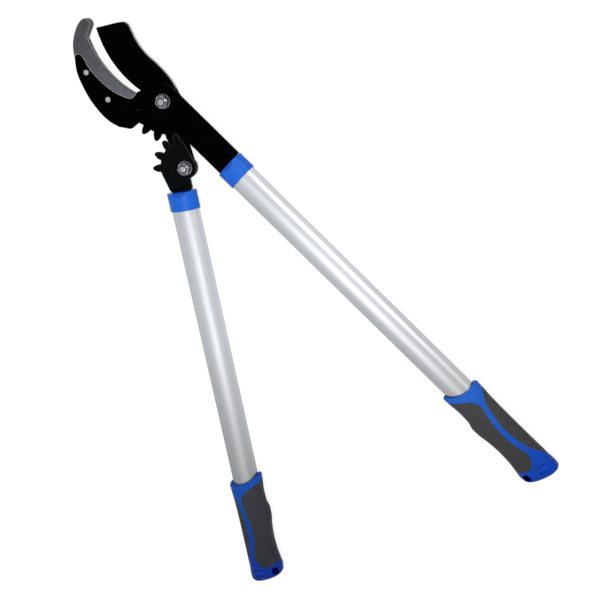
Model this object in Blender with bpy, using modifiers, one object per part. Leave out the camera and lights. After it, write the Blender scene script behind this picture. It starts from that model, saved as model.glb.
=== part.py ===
"""Geared anvil lopper lying on its side, pivot axes along +Z and handle A along -Y.

The world origin is on the main pivot's axis, at the surface that the tool lies on. Every piece is
modelled in the frame of the rigid group that carries it, whose zero height is the middle plane of
the two handle tubes. Handle A, the blade and the link are one group, the jaw is the second and
handle B with its pinion plate the third.
"""
import math

import bmesh
import bpy
from mathutils import Vector

MM = 0.001
TURN = 2 * math.pi

# Working values: how far a cutter runs past a solid, and the most of a side that a rounded corner takes
CUT_PAST = 10 * MM
CORNER_SHARE = 0.45
WELD = 0.002 * MM
SLIVER = 0.0001 * MM

# Plates, stacked along the pivot axes
SEAT_GAP = 0.3 * MM
JAW_THICKNESS = 4.0 * MM
ARM_THICKNESS = 3.0 * MM
BLADE_THICKNESS = 4.0 * MM

# Gear sectors, a full circle of each having this many teeth
MODULE = 5.32 * MM
JAW_TEETH = 17
PINION_TEETH = 14
PRESSURE_ANGLE = math.radians(25)
ADDENDUM = 0.88 * MODULE
ROOT_GAP = 0.5 * MM
BACKLASH = 0.8 * MM
TOOTH_TIP_ROUND = 1.1 * MM
TOOTH_ROOT_ROUND = 1.4 * MM
LINK_ANGLE = math.radians(-120.9)
PINION_REST_TURN = math.radians(0)
JAW_TOOTH_COUNT = 4
PINION_TOOTH_COUNT = 4

# Cutting edge, an arc that the anvil's face repeats with the jaw turned open to its rest pose
EDGE_RADIUS = 125.0 * MM
EDGE_CENTRE = (109.2 * MM, 52.0 * MM)
EDGE_GRIND = 7.0 * MM
BLADE_REACH = 118.2 * MM
BLADE_ROOT_REACH = 35.0 * MM
JAW_REST_TURN = math.radians(7.6)
CUT_GAP = 0.3 * MM
HOOK_GAP = 1.0 * MM

# Blade plate, with its tang in handle A and its link to the pinion's pivot
HUB_RADIUS = 27.0 * MM
HUB_START = math.radians(138)
LINK_HALF_WIDTH = 11.8 * MM
LINK_EAR_RADIUS = 13.3 * MM
LINK_CORNER_ROUND = 6.0 * MM
BLADE_TANG_HALF = 13.0 * MM

# Front arm plate of handle A
ARM_END_RADIUS = 20.0 * MM
ARM_OUTER_INSET = 0.4 * MM
ARM_INNER_INSET = 4.6 * MM
SPACER_REACH = 88.0 * MM

# Jaw plate and anvil, with rivets at millimetres across and percent of the blade's reach
JAW_HUB_RADIUS = 19.5 * MM
JAW_HUB_START = math.radians(-70)
JAW_HUB_END = math.radians(80)
JAW_CORNER_STAND = 6.6 * MM
JAW_CORNER_ROUND = 2.0 * MM
STOP_TURN = math.radians(6)
STOP_VALLEY_STAND = 3.2 * MM
STOP_VALLEY_PLACE = 0.72
ANVIL_STAND = 0.6 * MM
ANVIL_THICKNESS = 11.5 * MM
ANVIL_HEEL_THICKNESS = 9.3 * MM
ANVIL_EDGE_ROUND = 0.9 * MM
RIVET_RADIUS = 2.6 * MM
RIVET_HEAD_RADIUS = 3.3 * MM
RIVET_HEAD_HEIGHT = 0.9 * MM
RIVET_PLACES = {"anvil_rivet_upper": (-43.9, 78.6), "anvil_rivet_lower": (-49.3, 44.5)}

# Pinion plate of handle B
PINION_HUB_RADIUS = 13.5 * MM
PINION_HUB_END = math.radians(22)
NECK_INNER_HALF = 15.0 * MM
NECK_OUTER_HALF = 13.9 * MM
NECK_CHAMFER = 2.4 * MM

# Pivot hardware: bolts, bushes, washers and lock nuts
BOLT_RADIUS = 4.0 * MM
BORE_GAP = 0.3 * MM
HEX_ACROSS_FLATS = 13.4 * MM
HEX_CHAMFER = 0.5 * MM
HEAD_HEIGHT = 8.0 * MM
FLANGE_RADIUS = 8.5 * MM
FLANGE_HEIGHT = 1.6 * MM
WASHER_RADIUS = 8.7 * MM
WASHER_THICKNESS = 1.6 * MM
NUT_HEIGHT = 8.0 * MM
NUT_HEX_HEIGHT = 6.3 * MM
NUT_COLLAR_RADIUS = 6.1 * MM
NUT_INSERT_RADIUS = 5.2 * MM
NUT_INSERT_HEIGHT = 1.2 * MM
NUT_LIP = 0.25 * MM
NUT_MOUTH_GAP = 0.4 * MM
BOLT_END_STAND = 1.2 * MM
BOLT_END_CHAMFER = 0.6 * MM
BUSH_WALL = 1.7 * MM

# Handles: oval tubes with a blue collar at the head and a two-colour grip at the end
TUBE_WIDTH = 35.0 * MM
TUBE_THICKNESS = 23.0 * MM
TUBE_WALL = 1.5 * MM
TUBE_SHOWN = 363.2 * MM
TUBE_IN_GRIP = 95.0 * MM
COLLAR_WALL = 1.4 * MM
COLLAR_LENGTH = 22.8 * MM
COLLAR_TOP = 2.5 * MM
COLLAR_EDGE_ROUND = 0.8 * MM
COLLAR_A_REACH = 106.5 * MM
COLLAR_B_REACH = 27.5 * MM
HANDLE_B_OFFSET = 12.3 * MM
HANDLE_B_TURN = math.radians(-36.26)
TANG_HALF = 10.5 * MM
TANG_LENGTH = 48.0 * MM
PLUG_LENGTH = 42.0 * MM
PIN_RADIUS = 2.5 * MM
PIN_REACH = 12.0 * MM

# Grips: walls are added to the tube's half width and half thickness
GRIP_LENGTH = 150.0 * MM
GRIP_SLANT = 0.23
GRIP_SHAPE = 2.35
RIM_SCOOP = 4.5 * MM
RIM_SCOOP_REACH = 45.0 * MM
PAD_DEPTH = 1.6 * MM
HANG_HOLE_END = 14.0 * MM
HANG_HOLE_INSET = 0.5 * MM
HANG_HOLE_LENGTH = 10.5 * MM
HANG_HOLE_WIDTH = 8.0 * MM
HANG_HOLE_ROUND = 1.2 * MM

# Percent of the grip's length, then the wall on the outer side, the inner side and the two faces
GRIP_STATIONS = [
    (0.0, 3.2, 3.2, 1.9),
    (0.9, 5.0, 4.7, 2.9),
    (2.8, 6.0, 5.4, 3.1),
    (6.5, 5.5, 4.7, 3.1),
    (12.0, 4.6, 3.8, 3.1),
    (18.0, 3.9, 3.2, 3.1),
    (28.0, 3.5, 3.7, 3.1),
    (36.0, 3.3, 6.6, 3.1),
    (42.5, 3.2, 6.4, 3.1),
    (52.0, 3.2, 4.3, 3.1),
    (63.0, 3.2, 3.3, 3.1),
    (74.0, 3.3, 3.9, 3.1),
    (84.5, 3.8, 6.0, 3.1),
    (91.5, 4.4, 8.0, 3.1),
    (95.8, 3.9, 7.6, 2.6),
    (98.6, 1.0, 4.8, 1.2),
    (100.0, -3.5, 0.5, -1.6),
]

# Edges of the two rubber pads: percent of the grip's length, then percent of the tube's half width
INNER_PAD_EDGE = [
    (2, -194), (4.2, -97), (8.2, -31), (13.2, 23), (17.8, 45), (23, 46), (32, 30), (42, 16), (55.3, 14),
    (65, 25), (73, 41), (80.3, 26), (85, -9), (86, -51), (83.7, -103), (79.7, -194),
]
OUTER_PAD_EDGE = [
    (6.5, 194), (8.5, 149), (14.2, 117), (21.5, 85), (32.3, 65), (46.8, 50), (60.3, 58), (70.3, 77),
    (77.3, 100), (81.7, 143), (82.7, 194),
]

# Outlines beside the line through the pivot along handle A: millimetres across, then percent of the
# blade's reach
BLADE_BACK_EDGE = [
    (13, -20.3), (17.3, -5.75), (21.2, 2.96), (24, 14.38), (24.9, 29.44), (24.2, 43.15), (25.4, 53.64),
    (28.4, 63.28), (33.2, 73.27), (34.5, 77.5), (33, 81.56), (29.4, 84.6), (25, 87.39),
]
JAW_THROAT_EDGE = [
    (1, 16.5), (-5, 19.46), (-10.5, 23.86), (-15.4, 26.4),
]
ANVIL_SEAT_EDGE = [
    (-15.4, 26.4), (-23.6, 26.14), (-28.9, 28.26), (-35.6, 40.95), (-38.8, 56.94), (-38, 76.31),
    (-33.9, 87.99), (-32.7, 92.72), (-33.8, 95.77), (-36.8, 97.38), (-40.6, 97.21),
]
JAW_BACK_EDGE = [
    (-40.6, 97.21), (-51.7, 86.8), (-59, 74.79), (-65.6, 58.54), (-68.8, 40.95), (-68, 27.75),
    (-64.4, 18.02),
]
ANVIL_FLANGE_EDGE = [
    (-46.5, 89.68), (-54, 76.14), (-60.5, 58.38), (-62, 42.3), (-56, 32.57), (-44, 26.65), (-31, 23.52),
]

# The hook's outline from the end of the anvil's cutting face, in millimetres
HOOK_EDGE = [
    (17.3, 9.0), (17.8, 12.4), (16.2, 15.4), (13.2, 17.0), (8.4, 17.3), (0.5, 15.6), (-8, 12.0), (-17.6, 6.6),
    (-27.2, -2.3),
]

# Values that follow from the sizes above
JAW_FRONT = JAW_THICKNESS / 2
JAW_BACK = -JAW_THICKNESS / 2
ARM_BACK = JAW_FRONT + SEAT_GAP
ARM_FRONT = ARM_BACK + ARM_THICKNESS
BLADE_FRONT = JAW_BACK - SEAT_GAP
BLADE_BACK = BLADE_FRONT - BLADE_THICKNESS
HEAD_DEPTH = SEAT_GAP + HEAD_HEIGHT - BLADE_BACK
GRIP_DEPTH = TUBE_THICKNESS / 2 + max(wall for _, _, _, wall in GRIP_STATIONS) * MM
AXIS_HEIGHT = max(HEAD_DEPTH, GRIP_DEPTH)
GRIND_ANGLE = math.atan(BLADE_THICKNESS / 2 / EDGE_GRIND)
CENTRE_DISTANCE = MODULE * (JAW_TEETH + PINION_TEETH) / 2
LINK_PIVOT = (CENTRE_DISTANCE * math.cos(LINK_ANGLE), CENTRE_DISTANCE * math.sin(LINK_ANGLE))
JAW_TIP = MODULE * JAW_TEETH / 2 + ADDENDUM
JAW_ROOT = MODULE * JAW_TEETH / 2 - ADDENDUM - ROOT_GAP
PINION_TIP = MODULE * PINION_TEETH / 2 + ADDENDUM
PINION_ROOT = MODULE * PINION_TEETH / 2 - ADDENDUM - ROOT_GAP
BOLT_BORE = BOLT_RADIUS + BORE_GAP
BUSH_RADIUS = BOLT_BORE + BUSH_WALL
TUBE_TOP = COLLAR_TOP + SEAT_GAP
GRIP_START = COLLAR_LENGTH + TUBE_SHOWN

COATED_STEEL = ("coated_steel", (0.012, 0.012, 0.014), 0.45, 0.3)
CAST_ALLOY = ("cast_alloy", (0.105, 0.11, 0.135), 0.5, 0.6)
ZINC_STEEL = ("zinc_steel", (0.55, 0.56, 0.58), 0.3, 1.0)
ALUMINIUM = ("satin_aluminium", (0.62, 0.64, 0.67), 0.38, 1.0)
BLUE_PLASTIC = ("blue_plastic", (0.02, 0.13, 0.62), 0.4, 0.0)
GREY_RUBBER = ("grey_rubber", (0.045, 0.045, 0.05), 0.75, 0.0)
NYLON = ("nylon", (0.55, 0.62, 0.68), 0.5, 0.0)
BRONZE = ("bush_bronze", (0.42, 0.27, 0.12), 0.4, 1.0)


def clear_scene():
    for item in list(bpy.data.objects):
        bpy.data.objects.remove(item, do_unlink=True)


def new_collection(name):
    collection = bpy.data.collections.new(name)
    bpy.context.scene.collection.children.link(collection)
    return collection


def finish_of(style):
    name, colour, roughness, metallic = style
    material = bpy.data.materials.get(name)
    if material is None:
        material = bpy.data.materials.new(name)
        material.use_nodes = True
        shader = material.node_tree.nodes["Principled BSDF"]
        shader.inputs["Base Color"].default_value = (*colour, 1.0)
        shader.inputs["Roughness"].default_value = roughness
        shader.inputs["Metallic"].default_value = metallic
    return material


def new_empty(name, place, turn):
    empty = bpy.data.objects.new(name, None)
    empty.empty_display_size = BOLT_RADIUS
    empty.location = place
    empty.rotation_euler = (0, 0, turn)
    PARTS.objects.link(empty)
    return empty


def new_piece(name, mesh, frame, style=None, location=(0, 0, 0), rotation=(0, 0, 0)):
    """A visible part when a finish is given, otherwise a cutter."""
    piece = bpy.data.objects.new(name, mesh)
    piece.parent = frame
    piece.location = location
    piece.rotation_euler = rotation
    if style:
        PARTS.objects.link(piece)
        mesh.materials.append(finish_of(style))
        mesh.shade_smooth()
        mesh.set_sharp_from_angle(angle=math.radians(30))
    else:
        CUTTERS.objects.link(piece)
        piece.hide_render = True
        piece.display_type = "WIRE"
    return piece


def head_line(points, steps):
    """A smooth line through points in millimetres across and percent of the blade's reach."""
    return smooth_line([(across * MM, BLADE_REACH * percent / 100) for across, percent in points], steps)


def polar(radius, angle, centre=(0, 0)):
    return (centre[0] + radius * math.cos(angle), centre[1] + radius * math.sin(angle))


def arc(radius, start, end, steps, centre=(0, 0)):
    return [polar(radius, start + (end - start) * i / steps, centre) for i in range(steps + 1)]


def circle(radius, steps=24, centre=(0, 0)):
    return arc(radius, 0, TURN, steps, centre)[:-1]


def oval(half_width, half_height, steps=32, centre=(0, 0)):
    return [(centre[0] + half_width * x, centre[1] + half_height * y) for x, y in circle(1, steps)]


def rectangle(left, right, low, high):
    return [(left, low), (right, low), (right, high), (left, high)]


def smooth_line(points, steps):
    """An open Catmull-Rom curve through the points."""
    points = list(points)
    ends = [points[0], *points, points[-1]]
    line = []
    for a, b, c, d in zip(ends, ends[1:], ends[2:], ends[3:]):
        for i in range(steps):
            t = i / steps
            weights = (
                -t + 2 * t ** 2 - t ** 3,
                2 - 5 * t ** 2 + 3 * t ** 3,
                t + 4 * t ** 2 - 3 * t ** 3,
                t ** 3 - t ** 2,
            )
            line.append(tuple(sum(w * p[k] for w, p in zip(weights, (a, b, c, d))) / 2 for k in (0, 1)))
    return [*line, points[-1]]


def round_corners(points, radius, steps=3):
    """A closed outline with every corner rounded, by less where its sides are short."""
    outline = []
    for i, corner in enumerate(points):
        here = Vector(corner)
        back = Vector(points[i - 1]) - here
        ahead = Vector(points[(i + 1) % len(points)]) - here
        half = back.angle(ahead) / 2
        reach = min(radius / math.tan(half), CORNER_SHARE * back.length, CORNER_SHARE * ahead.length)
        start = here + back.normalized() * reach
        end = here + ahead.normalized() * reach
        for k in range(steps + 1):
            t = k / steps
            outline.append(tuple(start * (1 - t) ** 2 + here * 2 * t * (1 - t) + end * t ** 2))
    return outline


def offset_line(points, distance):
    """An open line moved to its right-hand side."""
    moved = []
    for i, point in enumerate(points):
        before = Vector(points[max(i - 1, 0)])
        after = Vector(points[min(i + 1, len(points) - 1)])
        along = (after - before).normalized()
        moved.append((point[0] + along.y * distance, point[1] - along.x * distance))
    return moved


def circles_meet(radius, centre, reach):
    """Where a circle meets one of the given reach about the origin, on the origin's left side."""
    span = math.hypot(*centre)
    along = (reach ** 2 + span ** 2 - radius ** 2) / (2 * span)
    aside = math.sqrt(reach ** 2 - along ** 2)
    x, y = centre[0] / span, centre[1] / span
    return (x * along - y * aside, y * along + x * aside)


def line_meets_circle(start, end, centre, radius):
    """The first point past the start where the line enters the circle."""
    origin = Vector(start) - Vector(centre)
    way = (Vector(end) - Vector(start)).normalized()
    middle = -origin.dot(way)
    half = math.sqrt(radius ** 2 - origin.length_squared + middle ** 2)
    return tuple(Vector(start) + way * (middle - half))


def prism(name, loops, low, high):
    """A flat outline, with any inner loops as holes, given its thickness along Z."""
    fill_scale = 1000.0
    curve = bpy.data.curves.new(name, "CURVE")
    curve.dimensions = "2D"
    curve.fill_mode = "BOTH"
    curve.extrude = (high - low) / 2 * fill_scale
    for loop in loops:
        spline = curve.splines.new("POLY")
        spline.points.add(len(loop) - 1)
        spline.use_cyclic_u = True
        for point, (x, y) in zip(spline.points, loop):
            point.co = (x * fill_scale, y * fill_scale, 0, 1)
    holder = bpy.data.objects.new(name, curve)
    CUTTERS.objects.link(holder)
    bpy.context.view_layer.update()
    depsgraph = bpy.context.evaluated_depsgraph_get()
    mesh = bpy.data.meshes.new_from_object(holder.evaluated_get(depsgraph))
    bpy.data.objects.remove(holder)
    bpy.data.curves.remove(curve)
    work = bmesh.new()
    work.from_mesh(mesh)
    bmesh.ops.remove_doubles(work, verts=work.verts, dist=WELD * fill_scale)
    for vertex in work.verts:
        vertex.co = vertex.co / fill_scale + Vector((0, 0, (low + high) / 2))
    bmesh.ops.dissolve_degenerate(work, edges=work.edges, dist=SLIVER)
    bmesh.ops.recalc_face_normals(work, faces=work.faces)
    work.to_mesh(mesh)
    work.free()
    mesh.materials.clear()
    return mesh


def loft(name, rings):
    """A closed solid through rings that have the same number of points."""
    work = bmesh.new()
    rows = [[work.verts.new(point) for point in ring] for ring in rings]
    count = len(rows[0])
    for low, high in zip(rows, rows[1:]):
        for i in range(count):
            work.faces.new((low[i], low[(i + 1) % count], high[(i + 1) % count], high[i]))
    work.faces.new(reversed(rows[0]))
    work.faces.new(rows[-1])
    bmesh.ops.recalc_face_normals(work, faces=work.faces)
    mesh = bpy.data.meshes.new(name)
    work.to_mesh(mesh)
    work.free()
    return mesh


def turned(name, profile, frame, style=None, location=(0, 0, 0), steps=24, ring=False):
    """A profile of (radius, height) points turned about Z, running down its outer side."""
    edges = [(i, i + 1) for i in range(len(profile) - 1)]
    if ring:
        edges.append((len(profile) - 1, 0))
    mesh = bpy.data.meshes.new(name)
    mesh.from_pydata([(radius, 0, height) for radius, height in profile], edges, [])
    piece = new_piece(name, mesh, frame, style, location)
    screw = piece.modifiers.new("turn", "SCREW")
    screw.steps = steps
    screw.render_steps = steps
    screw.use_merge_vertices = True
    screw.merge_threshold = 0.00001
    return piece


def dome(radius, low, height):
    """Three points of a rounded end, from its middle out."""
    return [(radius * math.sin(angle), low + height * math.cos(angle)) for angle in (0, TURN / 8, TURN / 4)]


def ring_profile(inner, outer, low, high):
    return [(outer, high), (outer, low), (inner, low), (inner, high)]


def hexagon_mesh(name, across_flats, low, high):
    work = bmesh.new()
    radius = across_flats / math.sqrt(3)
    bmesh.ops.create_cone(work, cap_ends=True, segments=6, radius1=radius, radius2=radius, depth=high - low)
    bmesh.ops.translate(work, verts=work.verts, vec=(0, 0, (low + high) / 2))
    ends = [edge for edge in work.edges if edge.verts[0].co.z == edge.verts[1].co.z]
    bmesh.ops.bevel(work, geom=ends, offset=HEX_CHAMFER, segments=1, affect="EDGES")
    mesh = bpy.data.meshes.new(name)
    work.to_mesh(mesh)
    work.free()
    return mesh


def combine(piece, tool, operation):
    change = piece.modifiers.new(operation.lower(), "BOOLEAN")
    change.operation = operation
    change.solver = "EXACT"
    change.object = tool


def round_edges(piece, width, segments=2):
    bevel = piece.modifiers.new("round", "BEVEL")
    bevel.width = width
    bevel.segments = segments
    bevel.limit_method = "ANGLE"
    bevel.angle_limit = math.radians(35)
    bevel.harden_normals = True


def tooth_flank(teeth, tip, root, centre, side):
    """Involute flank points from root to tip, on one side of the tooth's centre line."""
    pitch = MODULE * teeth / 2
    base = pitch * math.cos(PRESSURE_ANGLE)
    half_at_pitch = (math.pi * MODULE / 2 - BACKLASH / 2) / (2 * pitch)
    pitch_roll = math.tan(PRESSURE_ANGLE) - PRESSURE_ANGLE
    foot = max(base, root) * 1.001
    points = [polar(root, centre + side * (half_at_pitch + pitch_roll))]
    for i in range(5):
        radius = foot + (tip - foot) * i / 4
        pressure = math.acos(base / radius)
        half = half_at_pitch + pitch_roll - (math.tan(pressure) - pressure)
        points.append(polar(radius, centre + side * half))
    return points


def soften(points, index, radius):
    """The three points that round off one corner of an open line."""
    here = Vector(points[index])
    back = Vector(points[index - 1]) - here
    ahead = Vector(points[index + 1]) - here
    reach = min(radius, CORNER_SHARE * back.length, CORNER_SHARE * ahead.length)
    start = here + back.normalized() * reach
    end = here + ahead.normalized() * reach
    return [tuple(start), tuple((start + 2 * here + end) / 4), tuple(end)]


def sector_outline(teeth, tip, root, first, count):
    """Teeth of a gear sector, counterclockwise from the first tooth's right flank."""
    line = []
    for i in range(count):
        centre = first + TURN / teeth * i
        line += tooth_flank(teeth, tip, root, centre, -1)
        line += reversed(tooth_flank(teeth, tip, root, centre, 1))
    outline = [line[0]]
    flank = len(line) // (2 * count)
    for i in range(1, len(line) - 1):
        if i % flank == flank - 1 and (i // flank) % 2 == 0 or i % flank == 0 and (i // flank) % 2 == 1:
            outline += soften(line, i, TOOTH_TIP_ROUND)
        elif i % flank in (0, flank - 1):
            outline += soften(line, i, TOOTH_ROOT_ROUND)
        else:
            outline.append(line[i])
    return [*outline, line[-1]]


def blade_ring(grind, height):
    """The blade's outline at one height, its cutting edge ground back by the given width."""
    back = head_line(BLADE_BACK_EDGE, 3)
    tip = circles_meet(EDGE_RADIUS, EDGE_CENTRE, BLADE_REACH)
    beyond = Vector(tip) * 2 - Vector(back[-1])
    edge = EDGE_RADIUS - grind
    start = line_meets_circle(tuple(beyond), back[-1], EDGE_CENTRE, edge)
    root = circles_meet(edge, EDGE_CENTRE, BLADE_ROOT_REACH)
    start_angle = math.atan2(start[1] - EDGE_CENTRE[1], start[0] - EDGE_CENTRE[0]) % TURN
    root_angle = math.atan2(root[1] - EDGE_CENTRE[1], root[0] - EDGE_CENTRE[0]) % TURN
    shoulder = -COLLAR_A_REACH + SEAT_GAP
    end = -COLLAR_A_REACH - TUBE_TOP - TANG_LENGTH
    link_left = LINK_ANGLE - math.pi / 2
    link_right = LINK_ANGLE + math.pi / 2
    side = polar(LINK_HALF_WIDTH, link_right)
    crotch_along = (side[0] + BLADE_TANG_HALF) / -math.cos(LINK_ANGLE)
    crotch = (-BLADE_TANG_HALF, side[1] + crotch_along * math.sin(LINK_ANGLE))
    hub_angle = LINK_ANGLE + TURN - math.asin(LINK_HALF_WIDTH / HUB_RADIUS)
    waist = math.acos(LINK_HALF_WIDTH / LINK_EAR_RADIUS)
    link_end = arc(LINK_EAR_RADIUS, link_left - waist, link_right + waist, 12, LINK_PIVOT)
    tang_left = (-BLADE_TANG_HALF, shoulder)
    outline = [
        (TANG_HALF, end),
        (TANG_HALF, shoulder),
        (BLADE_TANG_HALF, shoulder),
        *back,
        *arc(edge, start_angle, root_angle, 14, EDGE_CENTRE),
        *arc(HUB_RADIUS, HUB_START, hub_angle, 5),
        *link_end,
        *soften([link_end[-1], crotch, tang_left], 1, LINK_CORNER_ROUND),
        tang_left,
        (-TANG_HALF, shoulder),
        (-TANG_HALF, end),
    ]
    return [(x, y, height) for x, y in outline]


def make_blade(frame):
    middle = (BLADE_FRONT + BLADE_BACK) / 2
    rings = [blade_ring(EDGE_GRIND, BLADE_BACK), blade_ring(0, middle), blade_ring(EDGE_GRIND, BLADE_FRONT)]
    blade = new_piece("blade", loft("blade", rings), frame, COATED_STEEL)
    blade.data.set_sharp_from_angle(angle=GRIND_ANGLE / 2)
    pin_place = (0, -COLLAR_A_REACH - PIN_REACH)
    for name, radius, place in (
        ("blade_bolt_bore", BOLT_BORE, (0, 0)),
        ("blade_link_bore", BOLT_BORE, LINK_PIVOT),
        ("blade_pin_bore", PIN_RADIUS + BORE_GAP, pin_place),
    ):
        bore = prism(name, [circle(radius)], BLADE_BACK - CUT_PAST, BLADE_FRONT + CUT_PAST)
        combine(blade, new_piece(name, bore, frame, location=(*place, 0)), "DIFFERENCE")


def make_arm_plate(frame):
    outer = ARM_END_RADIUS - ARM_OUTER_INSET
    inner = ARM_END_RADIUS - ARM_INNER_INSET
    shoulder = -COLLAR_A_REACH + SEAT_GAP
    end = -COLLAR_A_REACH - TUBE_TOP - TANG_LENGTH
    round_start = -math.acos(outer / ARM_END_RADIUS)
    round_end = TURN - math.acos(-inner / ARM_END_RADIUS)
    outline = [
        (TANG_HALF, end),
        (TANG_HALF, shoulder),
        (outer, shoulder),
        *arc(ARM_END_RADIUS, round_start, round_end, 26),
        (-inner, shoulder),
        (-TANG_HALF, shoulder),
        (-TANG_HALF, end),
    ]
    holes = [circle(BOLT_BORE), circle(PIN_RADIUS + BORE_GAP, 16, (0, -COLLAR_A_REACH - PIN_REACH))]
    new_piece("arm_plate", prism("arm_plate", [outline, *holes], ARM_BACK, ARM_FRONT), frame, COATED_STEEL)


def make_tang_spacer(frame):
    shoulder = -COLLAR_A_REACH + SEAT_GAP
    end = -COLLAR_A_REACH - TUBE_TOP - TANG_LENGTH
    outline = [
        (TANG_HALF, end),
        (TANG_HALF, shoulder),
        (BLADE_TANG_HALF, shoulder),
        (BLADE_TANG_HALF, -SPACER_REACH),
        (-BLADE_TANG_HALF, -SPACER_REACH),
        (-BLADE_TANG_HALF, shoulder),
        (-TANG_HALF, shoulder),
        (-TANG_HALF, end),
    ]
    hole = circle(PIN_RADIUS + BORE_GAP, 16, (0, -COLLAR_A_REACH - PIN_REACH))
    new_piece("tang_spacer", prism("tang_spacer", [outline, hole], JAW_BACK, JAW_FRONT), frame, COATED_STEEL)


def make_jaw_plate(frame):
    """The stop is a corner one tooth space ahead of the first tooth, past a shallow valley."""
    spacing = TURN / JAW_TEETH
    mesh_valley = LINK_ANGLE + TURN - PINION_REST_TURN * PINION_TEETH / JAW_TEETH
    last = mesh_valley + spacing / 2
    first = last - spacing * (JAW_TOOTH_COUNT - 1)
    teeth = sector_outline(JAW_TEETH, JAW_TIP, JAW_ROOT, first, JAW_TOOTH_COUNT)
    stop = first - spacing + STOP_TURN
    stop_valley = first - spacing * STOP_VALLEY_PLACE
    jaw_back = head_line(JAW_BACK_EDGE, 3)
    heel = [
        jaw_back[-1],
        polar(JAW_TIP + JAW_CORNER_STAND, stop),
        polar(JAW_ROOT + 2 * STOP_VALLEY_STAND, stop),
        polar(JAW_ROOT + STOP_VALLEY_STAND, stop_valley),
        teeth[1],
    ]
    outline = [
        *arc(JAW_HUB_RADIUS, JAW_HUB_START, JAW_HUB_END, 12),
        *head_line(JAW_THROAT_EDGE, 2)[:-1],
        *head_line(ANVIL_SEAT_EDGE, 2)[:-1],
        *jaw_back,
        *soften(heel, 1, JAW_CORNER_ROUND),
        *soften(heel, 2, JAW_CORNER_ROUND),
        *soften(heel, 3, JAW_CORNER_ROUND),
        *teeth[1:],
    ]
    rivets = [circle(RIVET_RADIUS + BORE_GAP, 16, place) for place in head_line(RIVET_PLACES.values(), 1)]
    holes = [circle(BUSH_RADIUS + BORE_GAP), *rivets]
    new_piece("jaw_plate", prism("jaw_plate", [outline, *holes], JAW_BACK, JAW_FRONT), frame, COATED_STEEL)


def make_anvil(frame):
    centre = polar(math.hypot(*EDGE_CENTRE), math.atan2(EDGE_CENTRE[1], EDGE_CENTRE[0]) + JAW_REST_TURN)
    radius = EDGE_RADIUS + CUT_GAP
    heel = circles_meet(radius, centre, BLADE_ROOT_REACH + 3 * CUT_GAP)
    notch = circles_meet(radius, centre, BLADE_REACH + HOOK_GAP)
    heel_angle = math.atan2(heel[1] - centre[1], heel[0] - centre[0]) % TURN
    notch_angle = math.atan2(notch[1] - centre[1], notch[0] - centre[0]) % TURN
    hook = [(notch[0] + x * MM, notch[1] + y * MM) for x, y in HOOK_EDGE]
    outline = [
        *arc(radius, heel_angle, notch_angle, 14, centre),
        *smooth_line(hook, 2),
        *head_line(ANVIL_FLANGE_EDGE, 2),
    ]
    front = JAW_FRONT + ANVIL_STAND
    back = front - ANVIL_THICKNESS
    anvil = new_piece("anvil", prism("anvil", [outline], back, front), frame, CAST_ALLOY)
    round_edges(anvil, ANVIL_EDGE_ROUND)
    seat = offset_line(head_line(ANVIL_SEAT_EDGE, 2), SEAT_GAP)
    seat_end = Vector(seat[-1]) + 3 * (Vector(seat[-1]) - Vector(seat[-2]))
    throat = head_line(JAW_THROAT_EDGE, 1)[1]
    pocket_outline = [throat, *seat, tuple(seat_end), (-BLADE_REACH, seat_end.y), (-BLADE_REACH, 0)]
    pocket = prism("anvil_pocket", [pocket_outline], JAW_BACK - SEAT_GAP, front + CUT_PAST)
    combine(anvil, new_piece("anvil_pocket", pocket, frame), "DIFFERENCE")
    slope = math.atan((ANVIL_THICKNESS - ANVIL_HEEL_THICKNESS) / (notch[1] - heel[1]))
    relief_box = prism("anvil_relief", [rectangle(-BLADE_REACH, BLADE_REACH, -BLADE_REACH, 0)], -CUT_PAST, 0)
    relief_place = (0, notch[1], back)
    relief = new_piece("anvil_relief", relief_box, frame, location=relief_place, rotation=(-slope, 0, 0))
    combine(anvil, relief, "DIFFERENCE")
    for name, place in zip(RIVET_PLACES, head_line(RIVET_PLACES.values(), 1)):
        hole = prism(name + "_bore", [circle(RIVET_RADIUS + BORE_GAP, 16)], back - CUT_PAST, front + CUT_PAST)
        at = (*place, 0)
        combine(anvil, new_piece(name + "_bore", hole, frame, location=at), "DIFFERENCE")
        head = JAW_FRONT + SEAT_GAP
        tail = back + (notch[1] - at[1]) * math.tan(slope) - SEAT_GAP
        profile = [
            *dome(RIVET_HEAD_RADIUS, head, RIVET_HEAD_HEIGHT),
            (RIVET_RADIUS, head),
            (RIVET_RADIUS, tail),
            *reversed(dome(RIVET_HEAD_RADIUS, tail, -RIVET_HEAD_HEIGHT)),
        ]
        turned(name, profile, frame, ZINC_STEEL, at, 16)


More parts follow.
